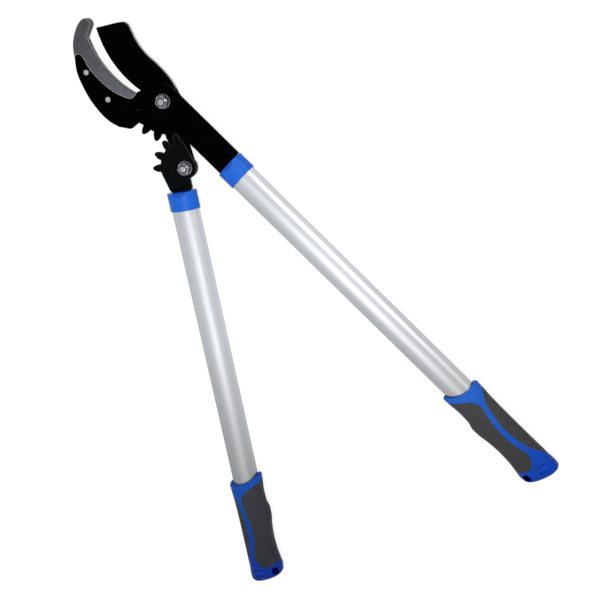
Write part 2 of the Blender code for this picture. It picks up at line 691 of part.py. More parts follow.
def make_pinion_plate(frame):
    """The pinion's teeth turn about the frame's origin, and its tang lies along -Y."""
    mesh_tooth = LINK_ANGLE + math.pi + PINION_REST_TURN - HANDLE_B_TURN
    teeth = sector_outline(PINION_TEETH, PINION_TIP, PINION_ROOT, mesh_tooth, PINION_TOOTH_COUNT)
    spacing = TURN / PINION_TEETH
    shoulder = -COLLAR_B_REACH + SEAT_GAP
    end = -COLLAR_B_REACH - TUBE_TOP - TANG_LENGTH
    left = -HANDLE_B_OFFSET - NECK_OUTER_HALF
    right = -HANDLE_B_OFFSET + NECK_INNER_HALF
    hub_low = -math.acos(min(1, right / PINION_HUB_RADIUS))
    outline = [
        (-HANDLE_B_OFFSET + TANG_HALF, end),
        (-HANDLE_B_OFFSET + TANG_HALF, shoulder),
        (right - NECK_CHAMFER, shoulder),
        (right, shoulder + NECK_CHAMFER),
        *arc(PINION_HUB_RADIUS, hub_low, PINION_HUB_END, 9),
        polar(PINION_ROOT, mesh_tooth - spacing / 2),
        *teeth,
        polar(PINION_ROOT, mesh_tooth + spacing * (PINION_TOOTH_COUNT - 0.5)),
        (left, shoulder + NECK_CHAMFER),
        (left + NECK_CHAMFER, shoulder),
        (-HANDLE_B_OFFSET - TANG_HALF, shoulder),
        (-HANDLE_B_OFFSET - TANG_HALF, end),
    ]
    holes = [
        circle(BUSH_RADIUS + BORE_GAP),
        circle(PIN_RADIUS + BORE_GAP, 16, (-HANDLE_B_OFFSET, -COLLAR_B_REACH - PIN_REACH)),
    ]
    plate = prism("pinion_plate", [outline, *holes], JAW_BACK, JAW_FRONT)
    new_piece("pinion_plate", plate, frame, COATED_STEEL)


def make_pivot_hardware(prefix, frame, place, washer_seat):
    """Flange bolt from the back, bush, washer and lock nut with its nylon ring."""
    at = (*place, 0)
    head_low = BLADE_BACK - SEAT_GAP - HEAD_HEIGHT
    head_high = BLADE_BACK - SEAT_GAP
    washer_top = washer_seat + SEAT_GAP + WASHER_THICKNESS
    nut_low = washer_top + SEAT_GAP
    nut_high = nut_low + NUT_HEIGHT
    shank = [
        (0, nut_high + BOLT_END_STAND),
        (BOLT_RADIUS - BOLT_END_CHAMFER, nut_high + BOLT_END_STAND),
        (BOLT_RADIUS, nut_high + BOLT_END_STAND - BOLT_END_CHAMFER),
        (BOLT_RADIUS, head_high),
        (FLANGE_RADIUS, head_high),
        (FLANGE_RADIUS, head_high - FLANGE_HEIGHT),
        (0, head_high - FLANGE_HEIGHT),
    ]
    bolt = turned(prefix + "_bolt", shank, frame, ZINC_STEEL, at)
    head = hexagon_mesh(prefix + "_bolt_head", HEX_ACROSS_FLATS, head_low, head_high - FLANGE_HEIGHT / 2)
    combine(bolt, new_piece(prefix + "_bolt_head", head, frame, location=at), "UNION")

    bush = ring_profile(BOLT_BORE, BUSH_RADIUS, JAW_BACK, JAW_FRONT)
    turned(prefix + "_bush", bush, frame, BRONZE, at, ring=True)
    washer = ring_profile(BOLT_BORE, WASHER_RADIUS, washer_seat + SEAT_GAP, washer_top)
    turned(prefix + "_washer", washer, frame, ZINC_STEEL, at, 32, ring=True)

    hexagon = hexagon_mesh(prefix + "_nut", HEX_ACROSS_FLATS, nut_low, nut_low + NUT_HEX_HEIGHT)
    nut = new_piece(prefix + "_nut", hexagon, frame, ZINC_STEEL, at)
    collar = ring_profile(BOLT_RADIUS, NUT_COLLAR_RADIUS, nut_low + NUT_HEX_HEIGHT / 2, nut_high)
    combine(nut, turned(prefix + "_nut_collar", collar, frame, location=at, ring=True), "UNION")
    insert_high = nut_high - 2 * NUT_LIP
    insert_low = insert_high - NUT_INSERT_HEIGHT
    bore = [
        (0, nut_high + CUT_PAST),
        (BOLT_BORE + NUT_MOUTH_GAP, nut_high + CUT_PAST),
        (BOLT_BORE + NUT_MOUTH_GAP, insert_high + NUT_LIP),
        (NUT_INSERT_RADIUS + NUT_LIP, insert_high + NUT_LIP),
        (NUT_INSERT_RADIUS + NUT_LIP, insert_low - NUT_LIP),
        (BOLT_BORE, insert_low - NUT_LIP),
        (BOLT_BORE, nut_low - CUT_PAST),
        (0, nut_low - CUT_PAST),
    ]
    combine(nut, turned(prefix + "_nut_bore", bore, frame, location=at), "DIFFERENCE")
    insert = ring_profile(BOLT_BORE, NUT_INSERT_RADIUS, insert_low, insert_high)
    turned(prefix + "_nut_insert", insert, frame, NYLON, at, ring=True)


def grip_rings(side, start, centre, inset, steps=24):
    """Slanted sections of the grip, wider on its inner side, with a rim scooped on both faces."""
    rings = []
    for percent, outer_wall, inner_wall, depth_wall in GRIP_STATIONS:
        along = GRIP_LENGTH * percent / 100
        scoop = RIM_SCOOP * max(0, 1 - along / RIM_SCOOP_REACH)
        outer = TUBE_WIDTH / 2 + outer_wall * MM - inset
        inner = TUBE_WIDTH / 2 + inner_wall * MM - inset
        depth = TUBE_THICKNESS / 2 + depth_wall * MM - inset
        ring = []
        for c, s in circle(1, steps):
            half = outer if c > 0 else inner
            across = half * math.copysign(abs(c) ** (2 / GRIP_SHAPE), c)
            height = depth * math.copysign(abs(s) ** (2 / GRIP_SHAPE), s)
            reach = start + along + GRIP_SLANT * across + scoop * (height / depth) ** 2
            ring.append((centre + side * across, -reach, height))
        rings.append(ring)
    return rings


def pad_outline(edge, side, start, centre, growth):
    half = TUBE_WIDTH / 2
    points = smooth_line([(GRIP_LENGTH * along / 100, half * across / 100) for along, across in edge], 2)
    if edge[0][1] < 0:
        growth = -growth
    grown = offset_line(points, growth)
    return [(centre + side * across, -start - along) for along, across in grown]


def make_grip(letter, frame, side, centre, collar_reach):
    start = collar_reach + GRIP_START
    skin = grip_rings(side, start, centre, 0)
    core = new_piece("grip_core_" + letter, loft("grip_core", skin), frame, BLUE_PLASTIC)
    under_pad = grip_rings(side, start, centre, PAD_DEPTH)
    pad_floor = new_piece("pad_floor_" + letter, loft("pad_floor", under_pad), frame)
    under_recess = grip_rings(side, start, centre, PAD_DEPTH + SEAT_GAP)
    recess_floor = new_piece("recess_floor_" + letter, loft("recess_floor", under_recess), frame)
    reach_up = GRIP_DEPTH + CUT_PAST
    for kind, edge in (("inner", INNER_PAD_EDGE), ("outer", OUTER_PAD_EDGE)):
        name = "grip_" + kind + "_pad_" + letter
        stencil = prism(name + "_stencil", [pad_outline(edge, side, start, centre, 0)], -reach_up, reach_up)
        pad = new_piece(name, loft(name, skin), frame, GREY_RUBBER)
        combine(pad, new_piece(name + "_stencil", stencil, frame), "INTERSECT")
        combine(pad, pad_floor, "DIFFERENCE")
        recess_edge = pad_outline(edge, side, start, centre, SEAT_GAP)
        recess = prism(name + "_recess", [recess_edge], -reach_up, reach_up)
        recess_tool = new_piece(name + "_recess", recess, frame)
        combine(recess_tool, recess_floor, "DIFFERENCE")
        combine(core, recess_tool, "DIFFERENCE")
    bore_low = start - CUT_PAST
    bore_high = start + TUBE_IN_GRIP + SEAT_GAP
    section = oval(TUBE_WIDTH / 2 + SEAT_GAP, TUBE_THICKNESS / 2 + SEAT_GAP)
    bore = along_handle("grip_bore_" + letter, [section], bore_low, bore_high, frame, centre)
    combine(core, bore, "DIFFERENCE")
    middle = centre - side * (TUBE_WIDTH / 2 - HANG_HOLE_INSET)
    reach = start + GRIP_LENGTH - HANG_HOLE_END
    hole = round_corners(
        rectangle(middle - HANG_HOLE_WIDTH / 2, middle + HANG_HOLE_WIDTH / 2,
                  -reach - HANG_HOLE_LENGTH / 2, -reach + HANG_HOLE_LENGTH / 2), HANG_HOLE_ROUND)
    hole_name = "hang_hole_" + letter
    hole_tool = new_piece(hole_name, prism(hole_name, [hole], -reach_up, reach_up), frame)
    combine(core, hole_tool, "DIFFERENCE")


def along_handle(name, loops, near, far, frame, centre, style=None):
    """A section extruded along the handle, between two distances from the frame's origin."""
    mesh = prism(name, loops, near, far)
    return new_piece(name, mesh, frame, style, (centre, 0, 0), (math.pi / 2, 0, 0))


def make_handle(letter, frame, side, centre, collar_reach, slot_low, slot_high):
    """Tube, collar, tang plug, pin and grip; the slot holds the tang's plates."""
    tube_top = collar_reach + TUBE_TOP
    tube_end = collar_reach + GRIP_START + TUBE_IN_GRIP
    half_width = TUBE_WIDTH / 2
    half_height = TUBE_THICKNESS / 2
    pin_place = (centre, -collar_reach - PIN_REACH, 0)
    bore_mesh = prism("pin_bore", [circle(PIN_RADIUS + BORE_GAP, 16)], -half_width, half_width)
    bore = new_piece("pin_bore_" + letter, bore_mesh, frame, location=pin_place)

    loops = [oval(half_width, half_height), oval(half_width - TUBE_WALL, half_height - TUBE_WALL)]
    tube = along_handle("tube_" + letter, loops, tube_top, tube_end, frame, centre, ALUMINIUM)
    combine(tube, bore, "DIFFERENCE")

    slot = rectangle(-TANG_HALF - SEAT_GAP, TANG_HALF + SEAT_GAP, slot_low - SEAT_GAP, slot_high + SEAT_GAP)
    plug_section = oval(half_width - TUBE_WALL - SEAT_GAP, half_height - TUBE_WALL - SEAT_GAP)
    plug_end = tube_top + PLUG_LENGTH
    plug = along_handle("tang_plug_" + letter, [plug_section, slot], tube_top, plug_end, frame, centre, NYLON)
    combine(plug, bore, "DIFFERENCE")

    outer = oval(half_width + SEAT_GAP + COLLAR_WALL, half_height + SEAT_GAP + COLLAR_WALL)
    collar_end = collar_reach + COLLAR_LENGTH
    collar = along_handle("collar_" + letter, [outer], collar_reach, collar_end, frame, centre, BLUE_PLASTIC)
    round_edges(collar, COLLAR_EDGE_ROUND)
    fit = oval(half_width + SEAT_GAP, half_height + SEAT_GAP)
    socket_low = collar_reach + COLLAR_TOP
    socket = along_handle("collar_socket_" + letter, [fit], socket_low, collar_end + CUT_PAST, frame, centre)
    combine(collar, socket, "DIFFERENCE")
    mouth_low = collar_reach - CUT_PAST
    mouth = along_handle("collar_slot_" + letter, [slot], mouth_low, socket_low + CUT_PAST, frame, centre)
    combine(collar, mouth, "DIFFERENCE")

    pin_half = half_height - SEAT_GAP / 2
    pin = [(0, pin_half), (PIN_RADIUS, pin_half), (PIN_RADIUS, -pin_half), (0, -pin_half)]
    turned("tang_pin_" + letter, pin, frame, ZINC_STEEL, pin_place, 16)
    make_grip(letter, frame, side, centre, collar_reach)


clear_scene()
PARTS = new_collection("anvil_lopper")
CUTTERS = new_collection("cutters")
handle_a_frame = new_empty("handle_a_frame", (0, 0, AXIS_HEIGHT), 0)
jaw_frame = new_empty("jaw_axis", (0, 0, AXIS_HEIGHT), 0)
handle_b_frame = new_empty("handle_b_axis", (*LINK_PIVOT, AXIS_HEIGHT), HANDLE_B_TURN)

make_blade(handle_a_frame)
make_arm_plate(handle_a_frame)
make_tang_spacer(handle_a_frame)
make_pivot_hardware("main", handle_a_frame, (0, 0), ARM_FRONT)
make_pivot_hardware("link", handle_a_frame, LINK_PIVOT, JAW_FRONT)
make_handle("a", handle_a_frame, 1, 0.0, COLLAR_A_REACH, BLADE_BACK, ARM_FRONT)
make_jaw_plate(jaw_frame)
make_anvil(jaw_frame)
make_pinion_plate(handle_b_frame)
make_handle("b", handle_b_frame, -1, -HANDLE_B_OFFSET, COLLAR_B_REACH, JAW_BACK, JAW_FRONT)
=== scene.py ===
"""Looks of the geared anvil lopper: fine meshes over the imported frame, finishes, floor, lamps and camera.

Each handle's pieces are made in that handle's own frame, whose +Z is the pivot axis and whose zero height
is the middle plane of the tubes. Lengths are in metres.
"""
import math

import bmesh
import bpy
import numpy as np
from mathutils import Matrix, Vector


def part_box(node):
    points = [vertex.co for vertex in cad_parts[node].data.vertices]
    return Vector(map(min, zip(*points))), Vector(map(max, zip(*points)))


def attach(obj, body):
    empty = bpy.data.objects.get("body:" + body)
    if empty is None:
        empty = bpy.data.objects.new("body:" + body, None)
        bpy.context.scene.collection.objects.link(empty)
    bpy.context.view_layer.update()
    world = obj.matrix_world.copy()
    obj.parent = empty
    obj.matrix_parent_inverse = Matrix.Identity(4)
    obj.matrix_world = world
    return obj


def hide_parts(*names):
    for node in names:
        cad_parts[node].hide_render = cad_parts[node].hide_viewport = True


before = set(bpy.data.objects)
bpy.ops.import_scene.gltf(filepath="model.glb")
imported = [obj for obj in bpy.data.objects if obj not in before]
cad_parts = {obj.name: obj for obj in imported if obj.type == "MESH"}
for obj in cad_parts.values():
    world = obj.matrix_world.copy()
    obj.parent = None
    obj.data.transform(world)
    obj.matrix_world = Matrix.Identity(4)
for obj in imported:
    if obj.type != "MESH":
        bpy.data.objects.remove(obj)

MM = 0.001
TURN = 2 * math.pi
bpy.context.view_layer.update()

# Sizes that the frame's solids have too
SEAT_GAP = 0.3 * MM
AXIS_HEIGHT = 14.6 * MM
LINK_ANGLE = math.radians(-120.9)
LINK_PIVOT = (-42.347 * MM, -70.756 * MM)
HANDLE_B_TURN = math.radians(-36.26)
HANDLE_B_OFFSET = 12.3 * MM
COLLAR_A_REACH = 106.5 * MM
COLLAR_B_REACH = 27.5 * MM
COLLAR_LENGTH = 22.8 * MM
COLLAR_TOP = 2.5 * MM
COLLAR_WALL = 1.4 * MM
HALF_WIDTH = 17.5 * MM
HALF_DEPTH = 11.5 * MM
TUBE_WALL = 1.5 * MM
TUBE_SHOWN = 363.2 * MM
TUBE_IN_GRIP = 95.0 * MM
TANG_HALF = 10.5 * MM
TANG_LENGTH = 48.0 * MM
JAW_FRONT = 2.0 * MM
BLADE_FRONT = -2.3 * MM
BLADE_BACK = -6.3 * MM
ARM_FRONT = 5.3 * MM

# Blade and anvil, whose edge and cutting face are arcs
EDGE_RADIUS = 125.0 * MM
EDGE_CENTRE = (109.2 * MM, 52.0 * MM)
EDGE_GRIND = 7.0 * MM
BLADE_REACH = 118.2 * MM
BLADE_ROOT_REACH = 35.0 * MM
JAW_REST_TURN = math.radians(7.6)
CUT_GAP = 0.3 * MM
HOOK_GAP = 1.0 * MM
HUB_RADIUS = 27.0 * MM
HUB_START = math.radians(138)
LINK_HALF_WIDTH = 11.8 * MM
LINK_EAR_RADIUS = 13.3 * MM
LINK_CORNER_ROUND = 6.0 * MM
BLADE_TANG_HALF = 13.0 * MM
BOLT_BORE = 4.3 * MM
ANVIL_FRONT = 2.6 * MM
ANVIL_THICKNESS = 11.5 * MM
ANVIL_HEEL_THICKNESS = 9.3 * MM
ANVIL_EDGE_ROUND = 0.9 * MM
PLATE_EDGE_ROUND = 0.35 * MM

# Rings of the blade: share of the half thickness, then millimetres drawn in
BLADE_ROLL = ((1, 0.35), (0.96, 0.16), (0.83, 0), (0, 0), (-0.83, 0), (-0.96, 0.16), (-1, 0.35))

# Collars, whose top is cut flat by facets
COLLAR_TOP_ROUND = 0.9 * MM
COLLAR_LIP_ROUND = 0.5 * MM
COLLAR_BELLY = 0.12 * MM
FACET_DROP = 1.9 * MM
FACET_LENGTH = 5.5 * MM

# Grips, with their rims, pads, ribs and hang holes
GRIP_LENGTH = 150.0 * MM
GRIP_SLANT = 0.23
GRIP_SHAPE = 2.35
RIM_SCOOP = 4.5 * MM
RIM_SCOOP_REACH = 45.0 * MM
HANG_HOLE_END = 14.0 * MM
HANG_HOLE_INSET = 0.5 * MM
HANG_HOLE_LENGTH = 10.5 * MM
HANG_HOLE_WIDTH = 8.0 * MM
HANG_HOLE_ROUND = 1.2 * MM
CORE_SINK = 0.3 * MM
END_SINK = 0.15 * MM
LIP_CREASE = 0.5 * MM
LIP_PERCENT = 3.6
LIP_CREASE_SPREAD = 0.8
PAD_EDGE_ROUND = 0.7 * MM
OUTER_PAD_WRAP = (83.4, 0.0)
OUTER_PAD_BEND = (80.5, 0.3)
OUTER_PAD_TURN = 75.0
RIB_ENDS = [((89.4, 78), (88.2, -6)), ((92.4, 76), (91.2, -10)), ((95.2, 64), (94.2, -6))]
RIB_HALF_WIDTH = 0.95 * MM
RIB_RISE = 0.6 * MM
PAD_ROWS = 150
PAD_COLUMNS = 22
PAD_EDGE_STEPS = (0, 0.1, 0.25, 0.45, 0.75, 1.1)
PAD_SKIRT = 1.1 * MM

# Stations of a grip: percent of its length, then its walls outside, inside and on the faces in millimetres
GRIP_STATIONS = [
    (0.0, 3.2, 3.2, 1.9), (0.9, 5.0, 4.7, 2.9), (2.8, 6.0, 5.4, 3.1), (6.5, 5.5, 4.7, 3.1),
    (12.0, 4.6, 3.8, 3.1), (18.0, 3.9, 3.2, 3.1), (28.0, 3.5, 3.7, 3.1), (36.0, 3.3, 6.6, 3.1),
    (42.5, 3.2, 6.4, 3.1), (52.0, 3.2, 4.3, 3.1), (63.0, 3.2, 3.3, 3.1), (74.0, 3.3, 3.9, 3.1),
    (84.5, 3.8, 6.0, 3.1), (91.5, 4.4, 8.0, 3.1), (95.8, 3.9, 7.6, 2.6), (98.6, 1.0, 4.8, 1.2),
    (100.0, -3.5, 0.5, -1.6),
]

# Edges of the rubber pads: percent of the grip's length, then percent of the tube's half width
INNER_PAD_EDGE = [
    (2, -194), (4.2, -97), (8.2, -31), (13.2, 23), (17.8, 45), (23, 46), (32, 30), (42, 16), (55.3, 14),
    (65, 25), (73, 41), (80.3, 26), (85, -9), (86, -51), (83.7, -103), (79.7, -194),
]
OUTER_PAD_EDGE = [
    (6.5, 194), (8.5, 149), (14.2, 117), (21.5, 85), (32.3, 65), (46.8, 50), (60.3, 58), (70.3, 77),
    (77.3, 100), (81.7, 143), (82.7, 194),
]

# Inside of the grip's rim: millimetres along, then away from the tube
RIM_LINING = ((10, 0.35), (1.6, 0.4), (0.8, 0.6), (0.3, 1.1), (0.05, 1.8), (0, 2.5))

# Closed end of the grip: share of its last ring, then the rise in millimetres
END_DOME = ((0.93, 0.15), (0.8, 0.3), (0.55, 0.42), (0.25, 0.46))

# Outlines of the head: millimetres across, then percent of the blade's reach
BLADE_BACK_EDGE = [
    (13, -20.3), (17.3, -5.75), (21.2, 2.96), (24, 14.38), (24.9, 29.44), (24.2, 43.15), (25.4, 53.64),
    (28.4, 63.28), (33.2, 73.27), (34.5, 77.5), (33, 81.56), (29.4, 84.6), (25, 87.39),
]
JAW_THROAT_EDGE = [(1, 16.5), (-5, 19.46), (-10.5, 23.86), (-15.4, 26.4)]
ANVIL_SEAT_EDGE = [
    (-15.4, 26.4), (-23.6, 26.14), (-28.9, 28.26), (-35.6, 40.95), (-38.8, 56.94), (-38, 76.31),
    (-33.9, 87.99), (-32.7, 92.72), (-33.8, 95.77), (-36.8, 97.38), (-40.6, 97.21),
]
ANVIL_FLANGE_EDGE = [
    (-46.5, 89.68), (-54, 76.14), (-60.5, 58.38), (-62, 42.3), (-56, 32.57), (-44, 26.65), (-31, 23.52),
]

# The hook from the end of the cutting face, in millimetres, and a share that keeps it in the solid's reach
HOOK_EDGE = [
    (15.1, 4.9), (17.4, 8.2), (17.6, 12), (15.6, 15.6), (11, 17.2), (5.2, 17.2), (-1.9, 15.4), (-9.8, 12.1),
    (-18.6, 6.6), (-27.2, -2.3),
]
HOOK_SHRINK = 0.995

# Chamfer of the anvil's cutting face, the part of that face that is worn and painted lit, the parts in
# painted shade, and the flash line along its seat, a bead in a painted highlight
CHAMFER_DEPTH = 1.8 * MM
CHAMFER_HEIGHT = -2.6 * MM
CHAMFER_ROOM = 6.0 * MM
FACE_BAND = 4.5 * MM
FACE_LEFT = -45.0 * MM
FACE_TOP = 0.2 * MM
WORN_AND_LIT_DEPTH = 1.1 * MM
SHADE_DEPTH = 5.3 * MM
NOSE_FADE = (-45.0 * MM, -128.0 * MM)
FLASH_RADIUS = 0.3 * MM
FLASH_SINK = 0.12 * MM

# Upright part of the normal on rolled edges: less than FLAT, the broad faces' limit, and more than ROLL
PLATE_FLAT = 0.97
CAST_FLAT = 0.96
PLATE_ROLL = 0.15
CAST_ROLL = 0.08

# Hardware
HEX_ACROSS_FLATS = 13.4 * MM
HEX_CROWN = 0.97
HEX_CHAMFER = math.radians(30)
NUT_HEX_HEIGHT = 6.3 * MM
NUT_COLLAR_RADIUS = 6.1 * MM
NUT_COLLAR_SINK = 0.6 * MM
NUT_LIP = 0.8 * MM
FLANGE_HEIGHT = 1.6 * MM
FLANGE_RADIUS = 8.5 * MM
BOLT_RADIUS = 4.0 * MM
BOLT_HEAD_HEIGHT = 8.0 * MM
BOLT_DISH_RADIUS = 4.6 * MM
BOLT_END_RADIUS = 3.4 * MM
BOLT_END_RISE = 0.25 * MM
BOLT_SHADE_RADIUS = 3.7 * MM
THREAD_PITCH = 1.25 * MM
THREAD_DEPTH = 0.65 * MM
THREAD_IN_NUT = 3.5 * MM
RIVET_RISE = 0.9 * MM
GEARS = {"jaw_plate": ((0, 0), 36 * MM, 60 * MM), "pinion_plate": (LINK_PIVOT, 29 * MM, 50 * MM)}
PUNCH_MARKS = {"jaw_plate": (-31.8 * MM, 17.1 * MM), "pinion_plate": (-61.0 * MM, -62.3 * MM)}

# Turned profiles in millimetres out from a radius and up from a height
PUNCH_PROFILE = ((0, 0.1), (0.5, 0.09), (0.85, 0.05), (1, -0.05), (0, -0.1))
NUT_RIM = ((0, -0.9), (-0.25, -0.35), (-0.75, 0), (-0.8, -0.1), (-0.8, -0.5), (-0.8, -0.7))
WASHER_FOOT = ((-0.3, 0), (0, 0.3))
WASHER_RIM = ((0, -0.3), (-0.1, -0.1), (-0.3, 0))
INSERT_OUTSIDE = ((-0.85, -2.2), (-0.85, -0.8))
INSERT_INSIDE = ((0.5, -0.8), (0, -1.1), (0, -2.2))
FLANGE_RIM = ((-0.3, 0), (0, -0.25), (0, -0.7), (-0.3, -0.95))

# Floor
FLOOR_SINK = 0.4 * MM
FLOOR_GREY = (0.26, 0.26, 0.26, 1.0)
FLOOR_GLOW = 0.83

WORLD = Matrix.Identity(4)
FRAME_A = Matrix.Translation((0, 0, AXIS_HEIGHT))
FRAME_B = Matrix.Translation((*LINK_PIVOT, AXIS_HEIGHT)) @ Matrix.Rotation(HANDLE_B_TURN, 4, "Z")


def polar(radius, angle, centre=(0, 0)):
    return (centre[0] + radius * math.cos(angle), centre[1] + radius * math.sin(angle))


def distance(point, centre):
    """How far apart two points lie in plan."""
    return math.hypot(point[0] - centre[0], point[1] - centre[1])


def plan_middle(low, high):
    """The middle of a box in plan."""
    return ((low[0] + high[0]) / 2, (low[1] + high[1]) / 2)


def stepped(radius, height, steps):
    """Profile points given in millimetres out from a radius and up from a height."""
    return [(radius + out * MM, height + up * MM) for out, up in steps]


def arc(radius, start, end, steps, centre=(0, 0)):
    return [polar(radius, start + (end - start) * i / steps, centre) for i in range(steps + 1)]


def smooth_line(points, steps):
    """An open Catmull-Rom curve through the points."""
    ends = [points[0], *points, points[-1]]
    line = []
    for a, b, c, d in zip(ends, ends[1:], ends[2:], ends[3:]):
        for i in range(steps):
            t = i / steps
            weights = (
                -t + 2 * t ** 2 - t ** 3,
                2 - 5 * t ** 2 + 3 * t ** 3,
                t + 4 * t ** 2 - 3 * t ** 3,
                t ** 3 - t ** 2,
            )
            line.append(tuple(sum(w * p[k] for w, p in zip(weights, (a, b, c, d))) / 2 for k in (0, 1)))
    return [*line, points[-1]]


def head_line(points, steps):
    """A smooth line through points in millimetres across and percent of the blade's reach."""
    return smooth_line([(across * MM, BLADE_REACH * percent / 100) for across, percent in points], steps)


def bend(start, turn, end, shares):
    """Points of a curve from start to end that is drawn towards the turn."""
    return [tuple(start * (1 - t) ** 2 + turn * 2 * t * (1 - t) + end * t ** 2) for t in shares]


def walked_along(spots):
    """How far along a line each of its points lies."""
    return np.concatenate(([0], np.cumsum(np.linalg.norm(np.diff(spots, axis=0), axis=1))))


def resampled(marks, walked, pairs):
    """The pairs in between, at the marks of a line that was walked along."""
    return np.column_stack([np.interp(marks, walked, pairs[:, k]) for k in (0, 1)])


def offset_line(points, aside, closed=False):
    """A line moved to its right-hand side."""
    count = len(points)
    moved = []
    for i, point in enumerate(points):
        before = points[i - 1] if closed or i else point
        after = points[(i + 1) % count] if closed or i < count - 1 else point
        along = (Vector(after) - Vector(before)).normalized()
        moved.append((point[0] + along.y * aside, point[1] - along.x * aside))
    return moved


def circles_meet(radius, centre, reach):
    """Where a circle meets one of the given reach about the origin, on the origin's left side."""
    span = math.hypot(*centre)
    along = (reach ** 2 + span ** 2 - radius ** 2) / (2 * span)
    aside = math.sqrt(reach ** 2 - along ** 2)
    x = centre[0] / span
    y = centre[1] / span
    return (x * along - y * aside, y * along + x * aside)


def angle_about(point, centre):
    return math.atan2(point[1] - centre[1], point[0] - centre[0]) % TURN


def linked(name, data):
    """A new object with the data, in the scene."""
    item = bpy.data.objects.new(name, data)
    bpy.context.scene.collection.objects.link(item)
    return item


def evaluated_mesh(item):
    """The mesh of an object with its modifiers, or of a filled curve."""
    bpy.context.view_layer.update()
    return bpy.data.meshes.new_from_object(item.evaluated_get(bpy.context.evaluated_depsgraph_get()))


def welded(name, mesh, place, gap):
    """An object of the mesh, its doubled points joined, its faces smooth and turned outwards."""
    work = bmesh.new()
    work.from_mesh(mesh)
    bmesh.ops.remove_doubles(work, verts=work.verts, dist=gap)
    bmesh.ops.recalc_face_normals(work, faces=work.faces)
    work.to_mesh(mesh)
    work.free()
    mesh.shade_smooth()
    mesh.transform(place)
    return linked(name, mesh)


def mesh_object(name, points, faces, place=WORLD):
    mesh = bpy.data.meshes.new(name)
    mesh.from_pydata([tuple(point) for point in points], [], faces)
    return welded(name, mesh, place, 1e-7)


def skin(name, rows, place=WORLD, wrap=False):
    """A surface through rings, closed at both ends, or with wrap joined from the last ring to the first."""
    count = len(rows[0])
    total = len(rows)
    points = [point for row in rows for point in row]
    faces = []
    for j in range(total if wrap else total - 1):
        low = j * count
        high = (j + 1) % total * count
        for i in range(count):
            k = (i + 1) % count
            faces.append((low + i, low + k, high + k, high + i))
    if not wrap:
        faces.append(tuple(reversed(range(count))))
        faces.append(tuple(range((total - 1) * count, total * count)))
    return mesh_object(name, points, faces, place)


def lathe(name, profile, centre, place=WORLD, steps=72, closed=False):
    """A profile of (radius, height) points turned about a vertical line through the centre."""
    rows = []
    for radius, height in profile:
        rows.append([(*polar(radius, TURN * i / steps, centre), height) for i in range(steps)])
    return skin(name, rows, place, wrap=closed)


def plate(name, loops, low, high, edge_round, place=WORLD):
    """A flat outline with holes, given a thickness and rounded edges by a curve drawn in millimetres."""
    scale = 1000.0
    curve = bpy.data.curves.new(name, "CURVE")
    curve.dimensions = "2D"
    curve.fill_mode = "BOTH"
    curve.extrude = ((high - low) / 2 - edge_round) * scale
    curve.bevel_depth = edge_round * scale
    curve.bevel_resolution = 2
    curve.offset = -edge_round * scale
    for loop in loops:
        spline = curve.splines.new("POLY")
        spline.points.add(len(loop) - 1)
        spline.use_cyclic_u = True
        for point, (x, y) in zip(spline.points, loop):
            point.co = (x * scale, y * scale, 0, 1)
    holder = linked(name, curve)
    mesh = evaluated_mesh(holder)
    bpy.data.objects.remove(holder)
    bpy.data.curves.remove(curve)
    mesh.materials.clear()
    for vertex in mesh.vertices:
        vertex.co = vertex.co / scale + Vector((0, 0, (low + high) / 2))
    return welded(name, mesh, place, 1e-6)


def combine(piece, tool, operation="DIFFERENCE"):
    """Applies a Boolean with a tool that is then removed."""
    change = piece.modifiers.new("cut", "BOOLEAN")
    change.operation = operation
    change.solver = "EXACT"
    change.object = tool
    mesh = evaluated_mesh(piece)
    piece.modifiers.remove(change)
    piece.data = mesh
    bpy.data.objects.remove(tool)


def drill(piece, centre, low, high, place=WORLD):
    """Cuts a bolt's bore between two heights."""
    profile = [(0, high), (BOLT_BORE, high), (BOLT_BORE, low), (0, low)]
    combine(piece, lathe("bore", profile, centre, place))


def face_loops(node):
    """Boundary loops of a CAD plate's front face, in the world."""
    work = bmesh.new()
    work.from_mesh(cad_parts[node].data)
    bmesh.ops.remove_doubles(work, verts=work.verts, dist=1e-6)
    top = max(vertex.co.z for vertex in work.verts)
    faces = {face for face in work.faces if all(abs(vertex.co.z - top) < 1e-5 for vertex in face.verts)}
    follow = {}
    for face in work.faces:
        if face in faces:
            for corner in face.loops:
                if sum(other in faces for other in corner.edge.link_faces) == 1:
                    follow[corner.vert] = corner.link_loop_next.vert
    loops = []
    while follow:
        here = next(iter(follow))
        line = []
        while here in follow:
            line.append(Vector(here.co.xy))
            here = follow.pop(here)
        loops.append(line)
    work.free()
    return loops


def refined(loop):
    """The loop with its arcs and curves divided finely, its corners and straight sides kept."""
    count = len(loop)
    arriving = []
    leaving = []
    for i, here in enumerate(loop):
        back = here - loop[i - 1]
        ahead = loop[(i + 1) % count] - here
        short = min(back.length, ahead.length)
        limit = math.radians(50 if short < 3 * MM else 28)
        if back.angle(ahead) > limit:
            arriving.append(back.normalized())
            leaving.append(ahead.normalized())
            continue
        if back.length > 2.5 * ahead.length:
            way = back.normalized()
        elif ahead.length > 2.5 * back.length:
            way = ahead.normalized()
        else:
            way = (back.normalized() * ahead.length + ahead.normalized() * back.length).normalized()
        arriving.append(way)
        leaving.append(way)
    fine = []
    for i, start in enumerate(loop):
        end = loop[(i + 1) % count]
        out = leaving[i]
        into = arriving[(i + 1) % count]
        length = (end - start).length
        steps = max(1, math.ceil(math.degrees(out.angle(into)) / 3))
        for k in range(steps):
            t = k / steps
            place = start * (2 * t ** 3 - 3 * t ** 2 + 1) + end * (3 * t ** 2 - 2 * t ** 3)
            place += out * length * (t ** 3 - 2 * t ** 2 + t) + into * length * (t ** 3 - t ** 2)
            fine.append(tuple(place))
    return fine


